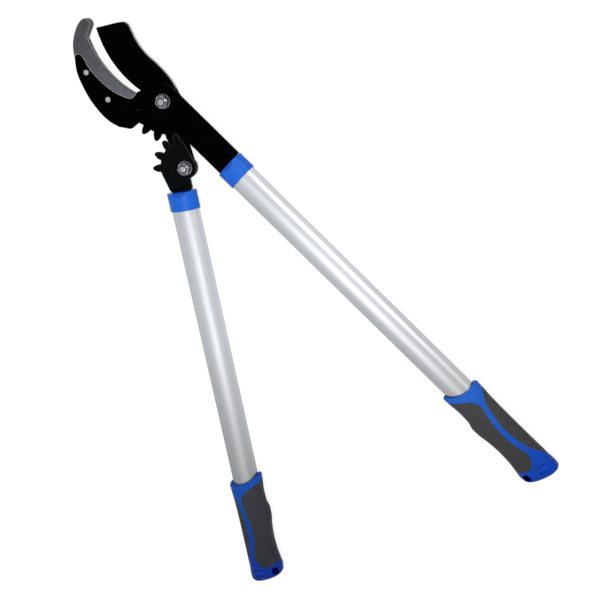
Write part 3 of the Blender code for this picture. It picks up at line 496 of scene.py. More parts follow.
def add_node(tree, kind, inputs=None, **settings):
    """A shader node, each of whose inputs is set to a value or joined to another node's output."""
    node = tree.nodes.new("ShaderNode" + kind)
    for key, value in settings.items():
        setattr(node, key, value)
    for socket, value in (inputs or {}).items():
        if isinstance(value, bpy.types.NodeSocket):
            tree.links.new(value, node.inputs[socket])
        else:
            node.inputs[socket].default_value = value
    return node


class Surface:
    """A Principled material whose colour, roughness and bump are driven by nodes in the home frame."""

    def __init__(self, name, home=WORLD, **constants):
        self.material = bpy.data.materials.new(name)
        self.material.use_nodes = True
        self.tree = self.material.node_tree
        self.shader = self.tree.nodes["Principled BSDF"]
        for socket, value in constants.items():
            self.shader.inputs[socket.replace("_", " ")].default_value = value
        place = self.node("TexCoord").outputs["Object"]
        inputs = {"Vector": place, "Location": home.to_translation(), "Rotation": home.to_euler()}
        self.place = self.node("Mapping", inputs, vector_type="TEXTURE").outputs["Vector"]

    def node(self, kind, inputs=None, **settings):
        return add_node(self.tree, kind, inputs, **settings)

    def drive(self, socket, source):
        self.tree.links.new(source, self.shader.inputs[socket])

    def noise(self, size, detail=3.0, stretch=(1, 1, 1), rough=0.5):
        """Noise whose grains are about the given size in metres, divided by the stretch on each axis."""
        place = self.node("Mapping", {"Vector": self.place, "Scale": stretch}).outputs["Vector"]
        inputs = {"Vector": place, "Scale": 1 / size, "Detail": detail, "Roughness": rough}
        return self.node("TexNoise", inputs).outputs["Fac"]

    def tone(self, size, detail, stretch=(1, 1, 1)):
        """Noise stretched to run from 0 to 1."""
        return self.spread(self.noise(size, detail, stretch), 0, 1)

    def cells(self, size):
        """Distance to the nearest cell centre of a Voronoi texture."""
        return self.node("TexVoronoi", {"Vector": self.place, "Scale": 1 / size}).outputs["Distance"]

    def axis(self, letter):
        """The surface's own X, Y or Z."""
        return self.node("SeparateXYZ", {"Vector": self.place}).outputs[letter]

    def along(self, start, end):
        """0 to 1 between two reaches along the handle."""
        return self.spread(self.axis("Y"), 0, 1, -start, -end)

    def spread(self, factor, low, high, start=0.3, end=0.7):
        """The factor's stretch from start to end, made to run from low to high."""
        inputs = {"Value": factor, "From Min": start, "From Max": end, "To Min": low, "To Max": high}
        return self.node("MapRange", inputs).outputs["Result"]

    def math(self, operation, first, second):
        return self.node("Math", {0: first, 1: second}, operation=operation).outputs["Value"]

    def blend(self, factor, first, second):
        """The first colour where the factor is 0, and the second where it is 1."""
        ends = [(*value, 1.0) if isinstance(value, tuple) else value for value in (first, second)]
        return self.node("Mix", {0: factor, 6: ends[0], 7: ends[1]}, data_type="RGBA").outputs[2]

    def fade(self, tone, start, end, near, far):
        """The tone in one pair of colours that turns to another between two reaches."""
        return self.blend(self.along(start, end), self.blend(tone, *near), self.blend(tone, *far))

    def colour(self, source):
        self.drive("Base Color", source)

    def roughness(self, grain, low, high):
        self.drive("Roughness", self.spread(grain, low, high))

    def bump(self, *heights):
        """Bumps from (height, strength, depth) in turn, one over the other."""
        under = {}
        for height, strength, depth in heights:
            inputs = {"Height": height, "Strength": strength, "Distance": depth, **under}
            under = {"Normal": self.node("Bump", inputs).outputs["Normal"]}
        self.drive("Normal", under["Normal"])


def make_coat(name, dark, light, level):
    """Black powder coat with an orange-peel surface and faint scuffs."""
    coat = Surface(name, Specular_IOR_Level=level)
    coat.colour(coat.blend(coat.tone(9 * MM, 4), dark, light))
    coat.roughness(coat.noise(2.5 * MM, 5, (1, 0.12, 1), 0.65), 0.34, 0.52)
    coat.bump((coat.noise(1.1 * MM, 2), 0.25, 0.05 * MM), (coat.noise(0.3 * MM, 2), 0.15, 0.01 * MM))
    return coat.material


def make_alloy(name, dark, light, speck, nose=None):
    """Cast alloy under a grey wash, grainy and slightly mottled, and plainer towards the nose."""
    alloy = Surface(name, Metallic=0.3, Specular_IOR_Level=0.3)
    tone = alloy.tone(6 * MM, 5)
    if nose:
        mottle = alloy.fade(tone, *NOSE_FADE, (dark, light), nose)
    else:
        mottle = alloy.blend(tone, dark, light)
    specks = alloy.spread(alloy.noise(0.8 * MM, 3), 0, 0.5, 0.5, 0.75)
    alloy.colour(alloy.blend(specks, mottle, speck))
    alloy.roughness(alloy.noise(3 * MM, 4), 0.44, 0.62)
    grain = alloy.noise(1.4 * MM, 5, rough=0.6)
    alloy.bump((grain, 0.5, 0.12 * MM), (alloy.noise(0.35 * MM, 2), 0.3, 0.03 * MM))
    return alloy.material


def make_zinc(name, dark, light, smooth, rough):
    """Zinc plate with fine turning marks."""
    zinc = Surface(name, Metallic=1.0)
    zinc.colour(zinc.blend(zinc.tone(3 * MM, 4), dark, light))
    zinc.roughness(zinc.noise(1.5 * MM, 4), smooth, rough)
    zinc.bump((zinc.noise(0.5 * MM, 3), 0.2, 0.02 * MM))
    return zinc.material


def make_nylon(name, dark, light, level=0.3):
    nylon = Surface(name, Specular_IOR_Level=level)
    nylon.colour(nylon.blend(nylon.tone(2 * MM, 3), dark, light))
    nylon.roughness(nylon.noise(1.5 * MM, 3), 0.35, 0.5)
    nylon.bump((nylon.noise(0.5 * MM, 2), 0.15, 0.02 * MM))
    return nylon.material


def make_bronze():
    bronze = Surface("bush_bronze", Metallic=1.0)
    bronze.colour(bronze.blend(bronze.tone(2 * MM, 4), (0.36, 0.22, 0.1), (0.48, 0.31, 0.15)))
    bronze.roughness(bronze.noise(0.8 * MM, 3), 0.3, 0.45)
    bronze.bump((bronze.noise(0.4 * MM, 3), 0.2, 0.02 * MM))
    return bronze.material


# Dark and light tones, for each handle where they differ, and near the head before near the end; the darker
# ends, handle b's darker tones and the facet's blues are painted shade
TUBE_NEAR_HEAD = ((0.585, 0.605, 0.635), (0.635, 0.655, 0.69))
TUBE_SHADED_END = {"a": ((0.46, 0.47, 0.48), (0.5, 0.51, 0.52)), "b": ((0.36, 0.365, 0.37), (0.4, 0.405, 0.41))}
TUBE_ROUGHNESS = {"a": (0.34, 0.43), "b": (0.38, 0.48)}
COLLAR_BLUES = ((0.002, 0.108, 0.585), (0.004, 0.12, 0.635))
FACET_SHADE_BLUES = ((0.0, 0.066, 0.47), (0.001, 0.076, 0.52))
GRIP_BLUES = {
    "a": ((0.014, 0.114, 0.52), (0.017, 0.13, 0.58), (0.0003, 0.04, 0.38), (0.0006, 0.05, 0.44)),
    "b": ((0.004, 0.068, 0.39), (0.006, 0.078, 0.44), (0.0001, 0.022, 0.255), (0.0004, 0.029, 0.295)),
}
RUBBERS = {
    "a": ((0.044, 0.044, 0.05), (0.056, 0.056, 0.063), (0.027, 0.0275, 0.028), (0.036, 0.0365, 0.037)),
    "b": ((0.028, 0.031, 0.038), (0.036, 0.04, 0.048), (0.0155, 0.0165, 0.0235), (0.022, 0.023, 0.031)),
}


def make_aluminium(letter, home, start, end):
    """Satin anodised tube with drawing lines along it, darker towards the grip as painted shade, more so on
    handle b.
    """
    tube = Surface("tube_aluminium_" + letter, home, Metallic=1.0, Specular_Tint=(0.42, 0.42, 0.43, 1.0))
    drawn = tube.noise(0.9 * MM, 4, (1, 0.012, 1), 0.6)
    tone = tube.tone(14 * MM, 3, (1, 0.15, 1))
    tube.colour(tube.fade(tone, start + (end - start) * 0.5, end, TUBE_NEAR_HEAD, TUBE_SHADED_END[letter]))
    tube.roughness(drawn, *TUBE_ROUGHNESS[letter])
    tube.bump((drawn, 0.1, 0.02 * MM), (tube.noise(0.25 * MM, 2), 0.12, 0.008 * MM))
    return tube.material


def make_collar_plastic(letter, home, top):
    """Smooth moulded blue plastic, darker on the facet at the collar's top as painted shade."""
    plastic = Surface("collar_blue_" + letter, home, Specular_IOR_Level=0.3)
    slope = FACET_DROP / FACET_LENGTH
    low = HALF_DEPTH + SEAT_GAP + COLLAR_WALL - FACET_DROP - slope * top
    height = plastic.math("ABSOLUTE", plastic.axis("Z"), 0.0)
    over = plastic.math("ADD", height, plastic.math("MULTIPLY", plastic.axis("Y"), slope))
    facet_shade_mask = plastic.spread(over, 0, 1, low - 0.1 * MM, low - 0.02 * MM)
    tone = plastic.tone(12 * MM, 3)
    plastic.colour(plastic.blend(facet_shade_mask, plastic.blend(tone, *COLLAR_BLUES), plastic.blend(tone, *FACET_SHADE_BLUES)))
    plastic.roughness(plastic.noise(4 * MM, 4), 0.24, 0.32)
    waves = plastic.noise(2.5 * MM, 2)
    plastic.bump((waves, 0.06, 0.04 * MM), (plastic.noise(0.3 * MM, 2), 0.04, 0.008 * MM))
    return plastic.material


def make_grip_plastic(letter, home, start, end, depth=1.0, name="grip_blue_"):
    """Finely grained blue plastic of the grip's core, darker towards its end and on handle b as painted
    shade.
    """
    plastic = Surface(name + letter, home, Specular_IOR_Level=0.12)
    blues = [tuple(channel * depth for channel in blue) for blue in GRIP_BLUES[letter]]
    plastic.colour(plastic.fade(plastic.tone(18 * MM, 3), start, end, blues[:2], blues[2:]))
    plastic.roughness(plastic.noise(5 * MM, 4), 0.34, 0.44)
    plastic.bump((plastic.cells(0.55 * MM), 0.2, 0.02 * MM), (plastic.noise(3 * MM, 2), 0.1, 0.06 * MM))
    return plastic.material


def make_rubber(letter, home, start, end):
    """Dark grey soft rubber with a stippled surface, darker towards the grip's end and on handle b as painted
    shade.
    """
    soft = {"Specular_IOR_Level": 0.2, "Sheen_Weight": 0.06, "Sheen_Roughness": 0.5}
    rubber = Surface("grip_rubber_" + letter, home, **soft)
    shades = RUBBERS[letter]
    base = rubber.fade(rubber.tone(15 * MM, 4), start, end, shades[:2], shades[2:])
    specks = rubber.spread(rubber.noise(1.2 * MM, 3), 0, 0.25, 0.55, 0.8)
    rubber.colour(rubber.blend(specks, base, (0.07, 0.07, 0.075)))
    rubber.roughness(rubber.noise(6 * MM, 4), 0.62, 0.8)
    rubber.bump((rubber.cells(0.8 * MM), 0.4, 0.07 * MM), (rubber.noise(0.3 * MM, 2), 0.2, 0.02 * MM))
    return rubber.material


COAT = make_coat("plate_black", (0.0002, 0.0002, 0.0003), (0.0007, 0.0007, 0.0008), 0.006)
COAT_GREY = make_coat("plate_charcoal", (0.001, 0.0014, 0.002), (0.0024, 0.003, 0.0038), 0.025)
# Painted highlights on the plates' rolled edges, brighter still on the edges painted lit
COAT_EDGE_HIGHLIGHT = make_coat("plate_edge_highlight", (0.003, 0.003, 0.0033), (0.009, 0.009, 0.0095), 0.3)
COAT_EDGE_LIT = make_coat("plate_edge_lit", (0.014, 0.014, 0.0145), (0.03, 0.03, 0.031), 0.5)
# The blade's bright rim is a painted reflection of the white surroundings on its cut edge
BLADE_RIM_REFLECTION = make_coat("blade_rim_painted_reflection", (0.17, 0.168, 0.166), (0.42, 0.415, 0.41), 0.5)
ALLOY = make_alloy("anvil_alloy", (0.087, 0.091, 0.114), (0.124, 0.128, 0.156), (0.142, 0.146, 0.168),
                   ((0.047, 0.047, 0.05), (0.07, 0.07, 0.073)))
# Painted shade on the hook's inside and on dark edges, the cutting face worn and painted lit, and a painted
# highlight line
ALLOY_HOOK_SHADE = make_alloy("anvil_nose_painted_shade", (0.052, 0.051, 0.052), (0.074, 0.073, 0.074), (0.098, 0.098, 0.1))
ALLOY_FACE_WORN_AND_LIT = make_alloy("anvil_face_worn_and_lit", (0.17, 0.172, 0.18), (0.27, 0.272, 0.28), (0.36, 0.36, 0.37))
ALLOY_SHADE = make_alloy("anvil_painted_shade", (0.016, 0.016, 0.018), (0.03, 0.03, 0.033), (0.05, 0.05, 0.055))
ALLOY_HIGHLIGHT_LINE = make_alloy("anvil_painted_highlight_line", (0.3, 0.3, 0.31), (0.44, 0.44, 0.45), (0.6, 0.6, 0.61))
ZINC = make_zinc("zinc_steel", (0.36, 0.37, 0.385), (0.51, 0.52, 0.535), 0.2, 0.34)
ZINC_RIVET = make_zinc("zinc_rivet", (0.42, 0.415, 0.42), (0.52, 0.515, 0.52), 0.45, 0.58)
# The washers' tops are painted shade; their rims keep the plain zinc
ZINC_WASHER_SHADE = make_zinc("zinc_washer_painted_shade", (0.07, 0.071, 0.074), (0.13, 0.132, 0.136), 0.4, 0.55)
ZINC_SHADE = make_zinc("zinc_shade", (0.045, 0.046, 0.05), (0.10, 0.102, 0.108), 0.35, 0.5)
# The nuts' nylon ring is painted near-black, standing in for the shade in the nut's recess
NYLON = make_nylon("nylon_insert", (0.012, 0.013, 0.016), (0.024, 0.026, 0.03))
PLUG_NYLON = make_nylon("plug_nylon", (0.01, 0.01, 0.011), (0.02, 0.02, 0.021))
# The hang hole's walls are painted shade: dark blue with no shine
HOLE_SHADE_BLUE = make_nylon("hole_painted_shade", (0.0, 0.001, 0.13), (0.0, 0.002, 0.21), 0.0)
BRONZE = make_bronze()


def dress(piece, body, slot, materials, *nodes, choose=None, angle=None):
    """Gives a piece its finish, its body and the CAD nodes it stands for; its slot argument is not used.

    A piece of several materials chooses one for each face. With an angle, edges that turn more are sharp, and
    broad flat faces stay flat.
    """
    for material in materials:
        piece.data.materials.append(material)
    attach(piece, body)
    if nodes:
        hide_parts(*nodes)
    if choose:
        for face in piece.data.polygons:
            face.material_index = int(choose(face))
    if angle:
        piece.data.shade_smooth()
        piece.data.set_sharp_from_angle(angle=math.radians(angle))
        weighted = piece.modifiers.new("weighted", "WEIGHTED_NORMAL")
        weighted.keep_sharp = True


ROOT = "head_and_handle_a"
HANDLES = {
    "a": {
        "body": ROOT, "place": FRAME_A, "side": 1, "centre": 0.0, "reach": COLLAR_A_REACH,
        "slot": (BLADE_BACK - SEAT_GAP, ARM_FRONT + SEAT_GAP),
    },
    "b": {
        "body": "handle_b", "place": FRAME_B, "side": -1, "centre": -HANDLE_B_OFFSET, "reach": COLLAR_B_REACH,
        "slot": (-JAW_FRONT - SEAT_GAP, JAW_FRONT + SEAT_GAP),
    },
}
for letter, handle in HANDLES.items():
    home = handle["place"]
    handle["grip"] = handle["reach"] + COLLAR_LENGTH + TUBE_SHOWN
    ends = (handle["grip"], handle["grip"] + GRIP_LENGTH)
    handle["aluminium"] = make_aluminium(letter, home, handle["reach"], handle["grip"])
    handle["collar"] = make_collar_plastic(letter, home, handle["reach"])
    handle["blue"] = make_grip_plastic(letter, home, *ends)
    # Darker and paler copies of the grip blue for the ribs: painted shade and painted highlight
    handle["deep"] = make_grip_plastic(letter, home, *ends, 0.55, "rib_painted_shade_")
    handle["pale"] = make_grip_plastic(letter, home, *ends, 1.45, "rib_painted_highlight_")
    handle["rubber"] = make_rubber(letter, home, *ends)


def rounded_strip(face):
    return PLATE_ROLL < abs(face.normal.z) < PLATE_FLAT


def lit_edge(face):
    """A rolled edge on the side that the light comes from, which gets the painted highlight."""
    return rounded_strip(face) and face.normal.x > 0.3


def lower_edge(face):
    """A rolled edge away from the throat, which lies in shade; these edges get the painted highlight."""
    return rounded_strip(face) and face.center.y < 0


# Body, coat, painted edge highlight, and which rolled edges get that highlight
PLATES = {
    "jaw_plate": ("jaw", COAT, COAT_EDGE_HIGHLIGHT, lower_edge),
    "arm_plate": (ROOT, COAT, COAT_EDGE_HIGHLIGHT, lit_edge),
    "pinion_plate": ("handle_b", COAT_GREY, COAT_EDGE_LIT, rounded_strip),
    "tang_spacer": (ROOT, COAT, COAT_EDGE_HIGHLIGHT, rounded_strip),
}


def softened(loop, blur=0.55 * MM, pitch=0.15 * MM):
    """The loop in even steps, and the same with its corners rounded by a Gaussian blur."""
    spots = np.array(loop + loop[:1])
    walked = walked_along(spots)
    count = int(walked[-1] / pitch)
    even = resampled(np.arange(count) * walked[-1] / count, walked, spots)
    reach = int(3 * blur / pitch)
    shifts = np.arange(-reach, reach + 1)
    weights = np.exp(-0.5 * (shifts * pitch / blur) ** 2)
    weights /= weights.sum()
    return even, sum(w * np.roll(even, k, axis=0) for k, w in zip(shifts, weights))


def round_teeth(loop, centre, low, high, least_turn=0.01, longest=1.2 * MM):
    """Softens the part of a plate's outline that lies at the gear's radii, and leaves the rest."""
    even, smooth = softened(loop)
    away = np.linalg.norm(even - np.array(centre), axis=1)
    share = np.clip((away - low) / MM, 0, 1) * np.clip((high - away) / MM, 0, 1)
    mixed = even + (smooth - even) * share[:, None]
    line = [tuple(mixed[0])]
    for here, following in zip(mixed[1:], mixed[2:]):
        before = here - line[-1]
        after = following - here
        length = np.linalg.norm(before)
        turn = abs(before[0] * after[1] - before[1] * after[0])
        if turn > least_turn * length * np.linalg.norm(after) or length > longest:
            line.append(tuple(here))
    return line


def make_plates():
    """Stamped plates with finely divided arcs and rolled edges."""
    for node, (body, coat, edge, is_highlit_edge) in PLATES.items():
        low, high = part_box(node)
        loops = [refined(loop) for loop in face_loops(node)]
        if node in GEARS:
            longest = max(range(len(loops)), key=lambda i: len(loops[i]))
            loops[longest] = round_teeth(loops[longest], *GEARS[node])
        piece = plate(node + "_fine", loops, low[2], high[2], PLATE_EDGE_ROUND)
        dress(piece, body, "plate_black", (coat, edge), node, choose=is_highlit_edge, angle=35)
        if node in PUNCH_MARKS:
            # The punch mark takes the colour of the painted edge highlight
            mark = lathe(node + "_mark", stepped(0, high[2], PUNCH_PROFILE), PUNCH_MARKS[node], steps=24)
            dress(mark, body, "plate_black", (COAT_EDGE_HIGHLIGHT,))


def blade_outline(grind, inset):
    """The blade's outline, its cutting edge ground back and its other sides drawn in by the inset."""
    back = head_line(BLADE_BACK_EDGE, 8)
    tip = Vector(circles_meet(EDGE_RADIUS, EDGE_CENTRE, BLADE_REACH))
    edge = EDGE_RADIUS - grind
    way = (Vector(back[-1]) - tip).normalized()
    lean = (tip - Vector(EDGE_CENTRE)).dot(way)
    start = tip + way * (-lean - math.sqrt(lean ** 2 - EDGE_RADIUS ** 2 + edge ** 2))
    root = circles_meet(edge, EDGE_CENTRE, BLADE_ROOT_REACH)
    ground = arc(edge, angle_about(start, EDGE_CENTRE), angle_about(root, EDGE_CENTRE), 60, EDGE_CENTRE)
    shoulder = -COLLAR_A_REACH + SEAT_GAP
    end = -COLLAR_A_REACH - COLLAR_TOP - SEAT_GAP - TANG_LENGTH
    link_left = LINK_ANGLE - math.pi / 2
    link_right = LINK_ANGLE + math.pi / 2
    aside = polar(LINK_HALF_WIDTH, link_right)
    crotch_along = (aside[0] + BLADE_TANG_HALF) / -math.cos(LINK_ANGLE)
    crotch = Vector((-BLADE_TANG_HALF, aside[1] + crotch_along * math.sin(LINK_ANGLE)))
    hub_angle = LINK_ANGLE + TURN - math.asin(LINK_HALF_WIDTH / HUB_RADIUS)
    waist = math.acos(LINK_HALF_WIDTH / LINK_EAR_RADIUS)
    ear = arc(LINK_EAR_RADIUS, link_left - waist, link_right + waist, 48, LINK_PIVOT)
    before = crotch + (Vector(ear[-1]) - crotch).normalized() * LINK_CORNER_ROUND
    after = crotch + Vector((0, -LINK_CORNER_ROUND))
    before_edge = [(TANG_HALF, end), (TANG_HALF, shoulder), (BLADE_TANG_HALF, shoulder), *back]
    after_edge = [
        *arc(HUB_RADIUS, HUB_START, hub_angle, 24), *ear, *bend(before, crotch, after, np.linspace(0, 1, 9)),
        (-BLADE_TANG_HALF, shoulder), (-TANG_HALF, shoulder), (-TANG_HALF, end),
    ]
    drawn = offset_line([*before_edge, *ground, *after_edge], -inset, closed=True)
    first = len(before_edge)
    drawn[first + 1:first + len(ground) - 1] = ground[1:-1]
    return drawn


def make_blade():
    """Blade ground to its edge from both faces, with its link ear and its tang in one."""
    middle = (BLADE_FRONT + BLADE_BACK) / 2
    half = (BLADE_FRONT - BLADE_BACK) / 2
    rings = []
    for height, inset in BLADE_ROLL:
        ring = blade_outline(EDGE_GRIND * abs(height), inset * MM)
        rings.append([(x, y, middle + half * height) for x, y in ring])
    blade = skin("blade_ground", rings, FRAME_A)
    for centre in ((0, 0), LINK_PIVOT):
        drill(blade, centre, BLADE_BACK - MM, 0, FRAME_A)

    def finish(face):
        """0 for the coat, 1 for painted highlights on rolled edges, 2 for the rim's painted reflection, 3 for
        the link ear's lit edge.
        """
        x, y, _ = face.center
        ground_side = distance((x, y), EDGE_CENTRE) > EDGE_RADIUS - 1.02 * EDGE_GRIND
        if ground_side or x < 0 and y > HUB_RADIUS * 0.6:
            return 0
        if distance((x, y), LINK_PIVOT) < LINK_EAR_RADIUS + MM and face.normal.z < PLATE_FLAT:
            return 3
        if x > 0 and y > 0 and abs(face.normal.z) < PLATE_FLAT and math.hypot(x, y) > HUB_RADIUS * 0.5:
            return 2
        return rounded_strip(face)

    finishes = (COAT, COAT_EDGE_HIGHLIGHT, BLADE_RIM_REFLECTION, COAT_EDGE_LIT)
    dress(blade, ROOT, "plate_black", finishes, "blade", choose=finish, angle=12)


def chamfer_depth(share):
    """Depth of the anvil's chamfer at a share of its face, less at the heel and fading out at the notch."""
    fading = 1 - max(0, (share - 0.55) / 0.45) ** 2
    return CHAMFER_DEPTH * fading * (0.7 + 0.3 * min(1, max(0, share) * 4))


def make_anvil():
    """Hooked anvil with its arc of a cutting face, seated over the jaw plate's edge."""
    swing = math.hypot(*EDGE_CENTRE)
    centre = polar(swing, math.atan2(EDGE_CENTRE[1], EDGE_CENTRE[0]) + JAW_REST_TURN)
    radius = EDGE_RADIUS + CUT_GAP
    heel = circles_meet(radius, centre, BLADE_ROOT_REACH + 3 * CUT_GAP)
    notch = circles_meet(radius, centre, BLADE_REACH + HOOK_GAP)
    heel_angle = angle_about(heel, centre)
    notch_angle = angle_about(notch, centre)
    outline = [
        *arc(radius, heel_angle, notch_angle, 60, centre),
        *smooth_line([(notch[0] + x * MM, notch[1] + y * MM * HOOK_SHRINK) for x, y in HOOK_EDGE], 6),
        *head_line(ANVIL_FLANGE_EDGE, 6),
    ]
    back = ANVIL_FRONT - ANVIL_THICKNESS
    anvil = plate("anvil_cast", [outline], back, ANVIL_FRONT, ANVIL_EDGE_ROUND, FRAME_A)
    seat = offset_line(head_line(ANVIL_SEAT_EDGE, 6), SEAT_GAP)
    seat_end = Vector(seat[-1]) + 9 * (Vector(seat[-1]) - Vector(seat[-2]))
    throat = head_line(JAW_THROAT_EDGE, 1)[1]
    pocket = [throat, *seat, tuple(seat_end), (-BLADE_REACH, seat_end.y), (-BLADE_REACH, 0)]
    combine(anvil, plate("pocket", [pocket], -JAW_FRONT - SEAT_GAP, ANVIL_FRONT + MM, 0, FRAME_A))
    slope = math.atan((ANVIL_THICKNESS - ANVIL_HEEL_THICKNESS) / (notch[1] - heel[1]))
    box = [(-BLADE_REACH, -BLADE_REACH), (BLADE_REACH, -BLADE_REACH), (BLADE_REACH, 0), (-BLADE_REACH, 0)]
    tilt = Matrix.Translation((0, notch[1], back)) @ Matrix.Rotation(-slope, 4, "X")
    combine(anvil, plate("relief", [box], -ANVIL_THICKNESS, 0, 0, FRAME_A @ tilt))
    rows = []
    inner = radius - CHAMFER_ROOM
    low = back - MM
    for share in np.linspace(-0.08, 1.0, 40):
        angle = heel_angle + (notch_angle - heel_angle) * share
        outer = radius + chamfer_depth(share)
        profile = ((inner, CHAMFER_HEIGHT), (radius, CHAMFER_HEIGHT), (outer, low), (inner, low))
        rows.append([(*polar(reach, angle, centre), height) for reach, height in profile])
    combine(anvil, skin("chamfer", rows, FRAME_A))
    front = AXIS_HEIGHT + ANVIL_FRONT
    foot = notch[1] - FACE_TOP

    def finish(face):
        """0 cast body, 1 hook's inside in painted shade, 2 cutting face, worn and painted lit, 3 painted
        shade, 4 painted highlight line.
        """
        x, y, z = face.center
        off = abs(distance((x, y), centre) - radius)
        steep = abs(face.normal.z)
        rolled = CAST_ROLL < steep < CAST_FLAT
        if off < FACE_BAND and y < foot and x > FACE_LEFT:
            # The cutting face is painted lit below a painted dark line along its top; rolled and low faces
            # beside it are painted shade
            if off < 0.05 * MM and steep < 0.5:
                return 2 if z < front - WORN_AND_LIT_DEPTH else 3
            return 3 if rolled or z < front - SHADE_DEPTH and steep < CAST_FLAT else 0
        # On the hook, rolled front edges get a painted highlight line or painted shade, and its walls painted
        # shade
        if y > foot and face.normal.x - face.normal.y > 0.3 and x > notch[0] - MM:
            if rolled and z > front - ANVIL_EDGE_ROUND:
                return 4 if steep > 0.7 else 3
            return steep < CAST_FLAT
        return 0

    finishes = (ALLOY, ALLOY_HOOK_SHADE, ALLOY_FACE_WORN_AND_LIT, ALLOY_SHADE, ALLOY_HIGHLIGHT_LINE)
    dress(anvil, "jaw", "anvil_alloy", finishes, "anvil", choose=finish, angle=30)
    # The flash line along the seat is a thin bead in the painted highlight colour
    line = [(x, y, ANVIL_FRONT - FLASH_SINK) for x, y in seat]
    dress(bead("anvil_flash_line_painted_highlight", line, FLASH_RADIUS, FRAME_A), "jaw", "anvil_alloy", (ALLOY_HIGHLIGHT_LINE,))


def bead(name, line, radius, place, sides=8):
    """A thin round bead along an open line that stays at one height."""
    rows = []
    last = len(line) - 1
    for i, point in enumerate(line):
        along = (Vector(line[min(i + 1, last)]) - Vector(line[max(i - 1, 0)])).normalized()
        across = along.cross(Vector((0, 0, 1)))
        thick = radius * min(1.0, 0.15 + min(i, last - i) / 3)
        rounds = (polar(1, TURN * k / sides) for k in range(sides))
        rows.append([Vector(point) + thick * (across * c + Vector((0, 0, s))) for c, s in rounds])
    return skin(name, rows, place)


def hexagon_solid(name, centre, low, high, crowned=True):
    """A hexagon whose corners are cut by a cone below and, where it is crowned, above."""
    corner = HEX_ACROSS_FLATS / math.sqrt(3)
    crown = HEX_ACROSS_FLATS / 2 * HEX_CROWN
    wide = corner * 1.05
    rise = (wide - crown) * math.tan(HEX_CHAMFER)
    rows = []
    for height in (low, high):
        rows.append([(*polar(corner, TURN * (i + 0.5) / 6, centre), height) for i in range(6)])
    piece = skin(name, rows)
    top = [(0, high), (crown, high), (wide, high - rise)] if crowned else [(0, high + MM), (wide, high + MM)]
    profile = [*top, (wide, low + rise), (crown, low), (0, low)]
    combine(piece, lathe("cone", profile, centre, steps=96), "INTERSECT")
    return piece


def merged(piece, *others):
    """Joins meshes that share a frame into the first piece."""
    work = bmesh.new()
    for item in (piece, *others):
        work.from_mesh(item.data)
    mesh = bpy.data.meshes.new(piece.name)
    work.to_mesh(mesh)
    work.free()
    piece.data = mesh
    for other in others:
        bpy.data.objects.remove(other)
    return piece


def make_nut(prefix):
    """Hexagon lock nut with a round collar, and the nylon ring in it."""
    nut_low, nut_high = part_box(prefix + "_nut")
    centre = plan_middle(nut_low, nut_high)
    low = nut_low[2]
    high = nut_high[2]
    hex_top = low + NUT_HEX_HEIGHT
    nut = hexagon_solid(prefix + "_lock_nut", centre, low, hex_top)
    drill(nut, centre, low - MM, high)
    base = hex_top - NUT_COLLAR_SINK
    floor = base + 0.2 * MM
    inner = BOLT_BORE + 0.1 * MM
    lip = NUT_COLLAR_RADIUS - NUT_LIP
    rim = stepped(NUT_COLLAR_RADIUS, high, NUT_RIM)
    collar = [(inner, base), (NUT_COLLAR_RADIUS, base), *rim, (lip, floor), (inner, floor)]
    merged(nut, lathe("collar", collar, centre, closed=True))

    def shaded(face):
        """The foot of the round collar and the inside of its lip."""
        away = distance(face.center, centre)
        over = face.center.z - hex_top
        foot = -0.05 * MM < away - NUT_COLLAR_RADIUS < 0.3 * MM and abs(over) < 0.75 * MM
        return foot or away < lip and over > 0

    dress(nut, ROOT, "zinc_steel", (ZINC, ZINC_SHADE), prefix + "_nut", choose=shaded, angle=28)
    # The nylon ring is painted near-black as the recess's shade
    insert = [*stepped(NUT_COLLAR_RADIUS, high, INSERT_OUTSIDE), *stepped(BOLT_RADIUS, high, INSERT_INSIDE)]
    ring = lathe(prefix + "_nylon_ring", insert, centre, closed=True)
    dress(ring, ROOT, "nylon_insert", (NYLON,), prefix + "_nut_insert", angle=35)
    return centre, high


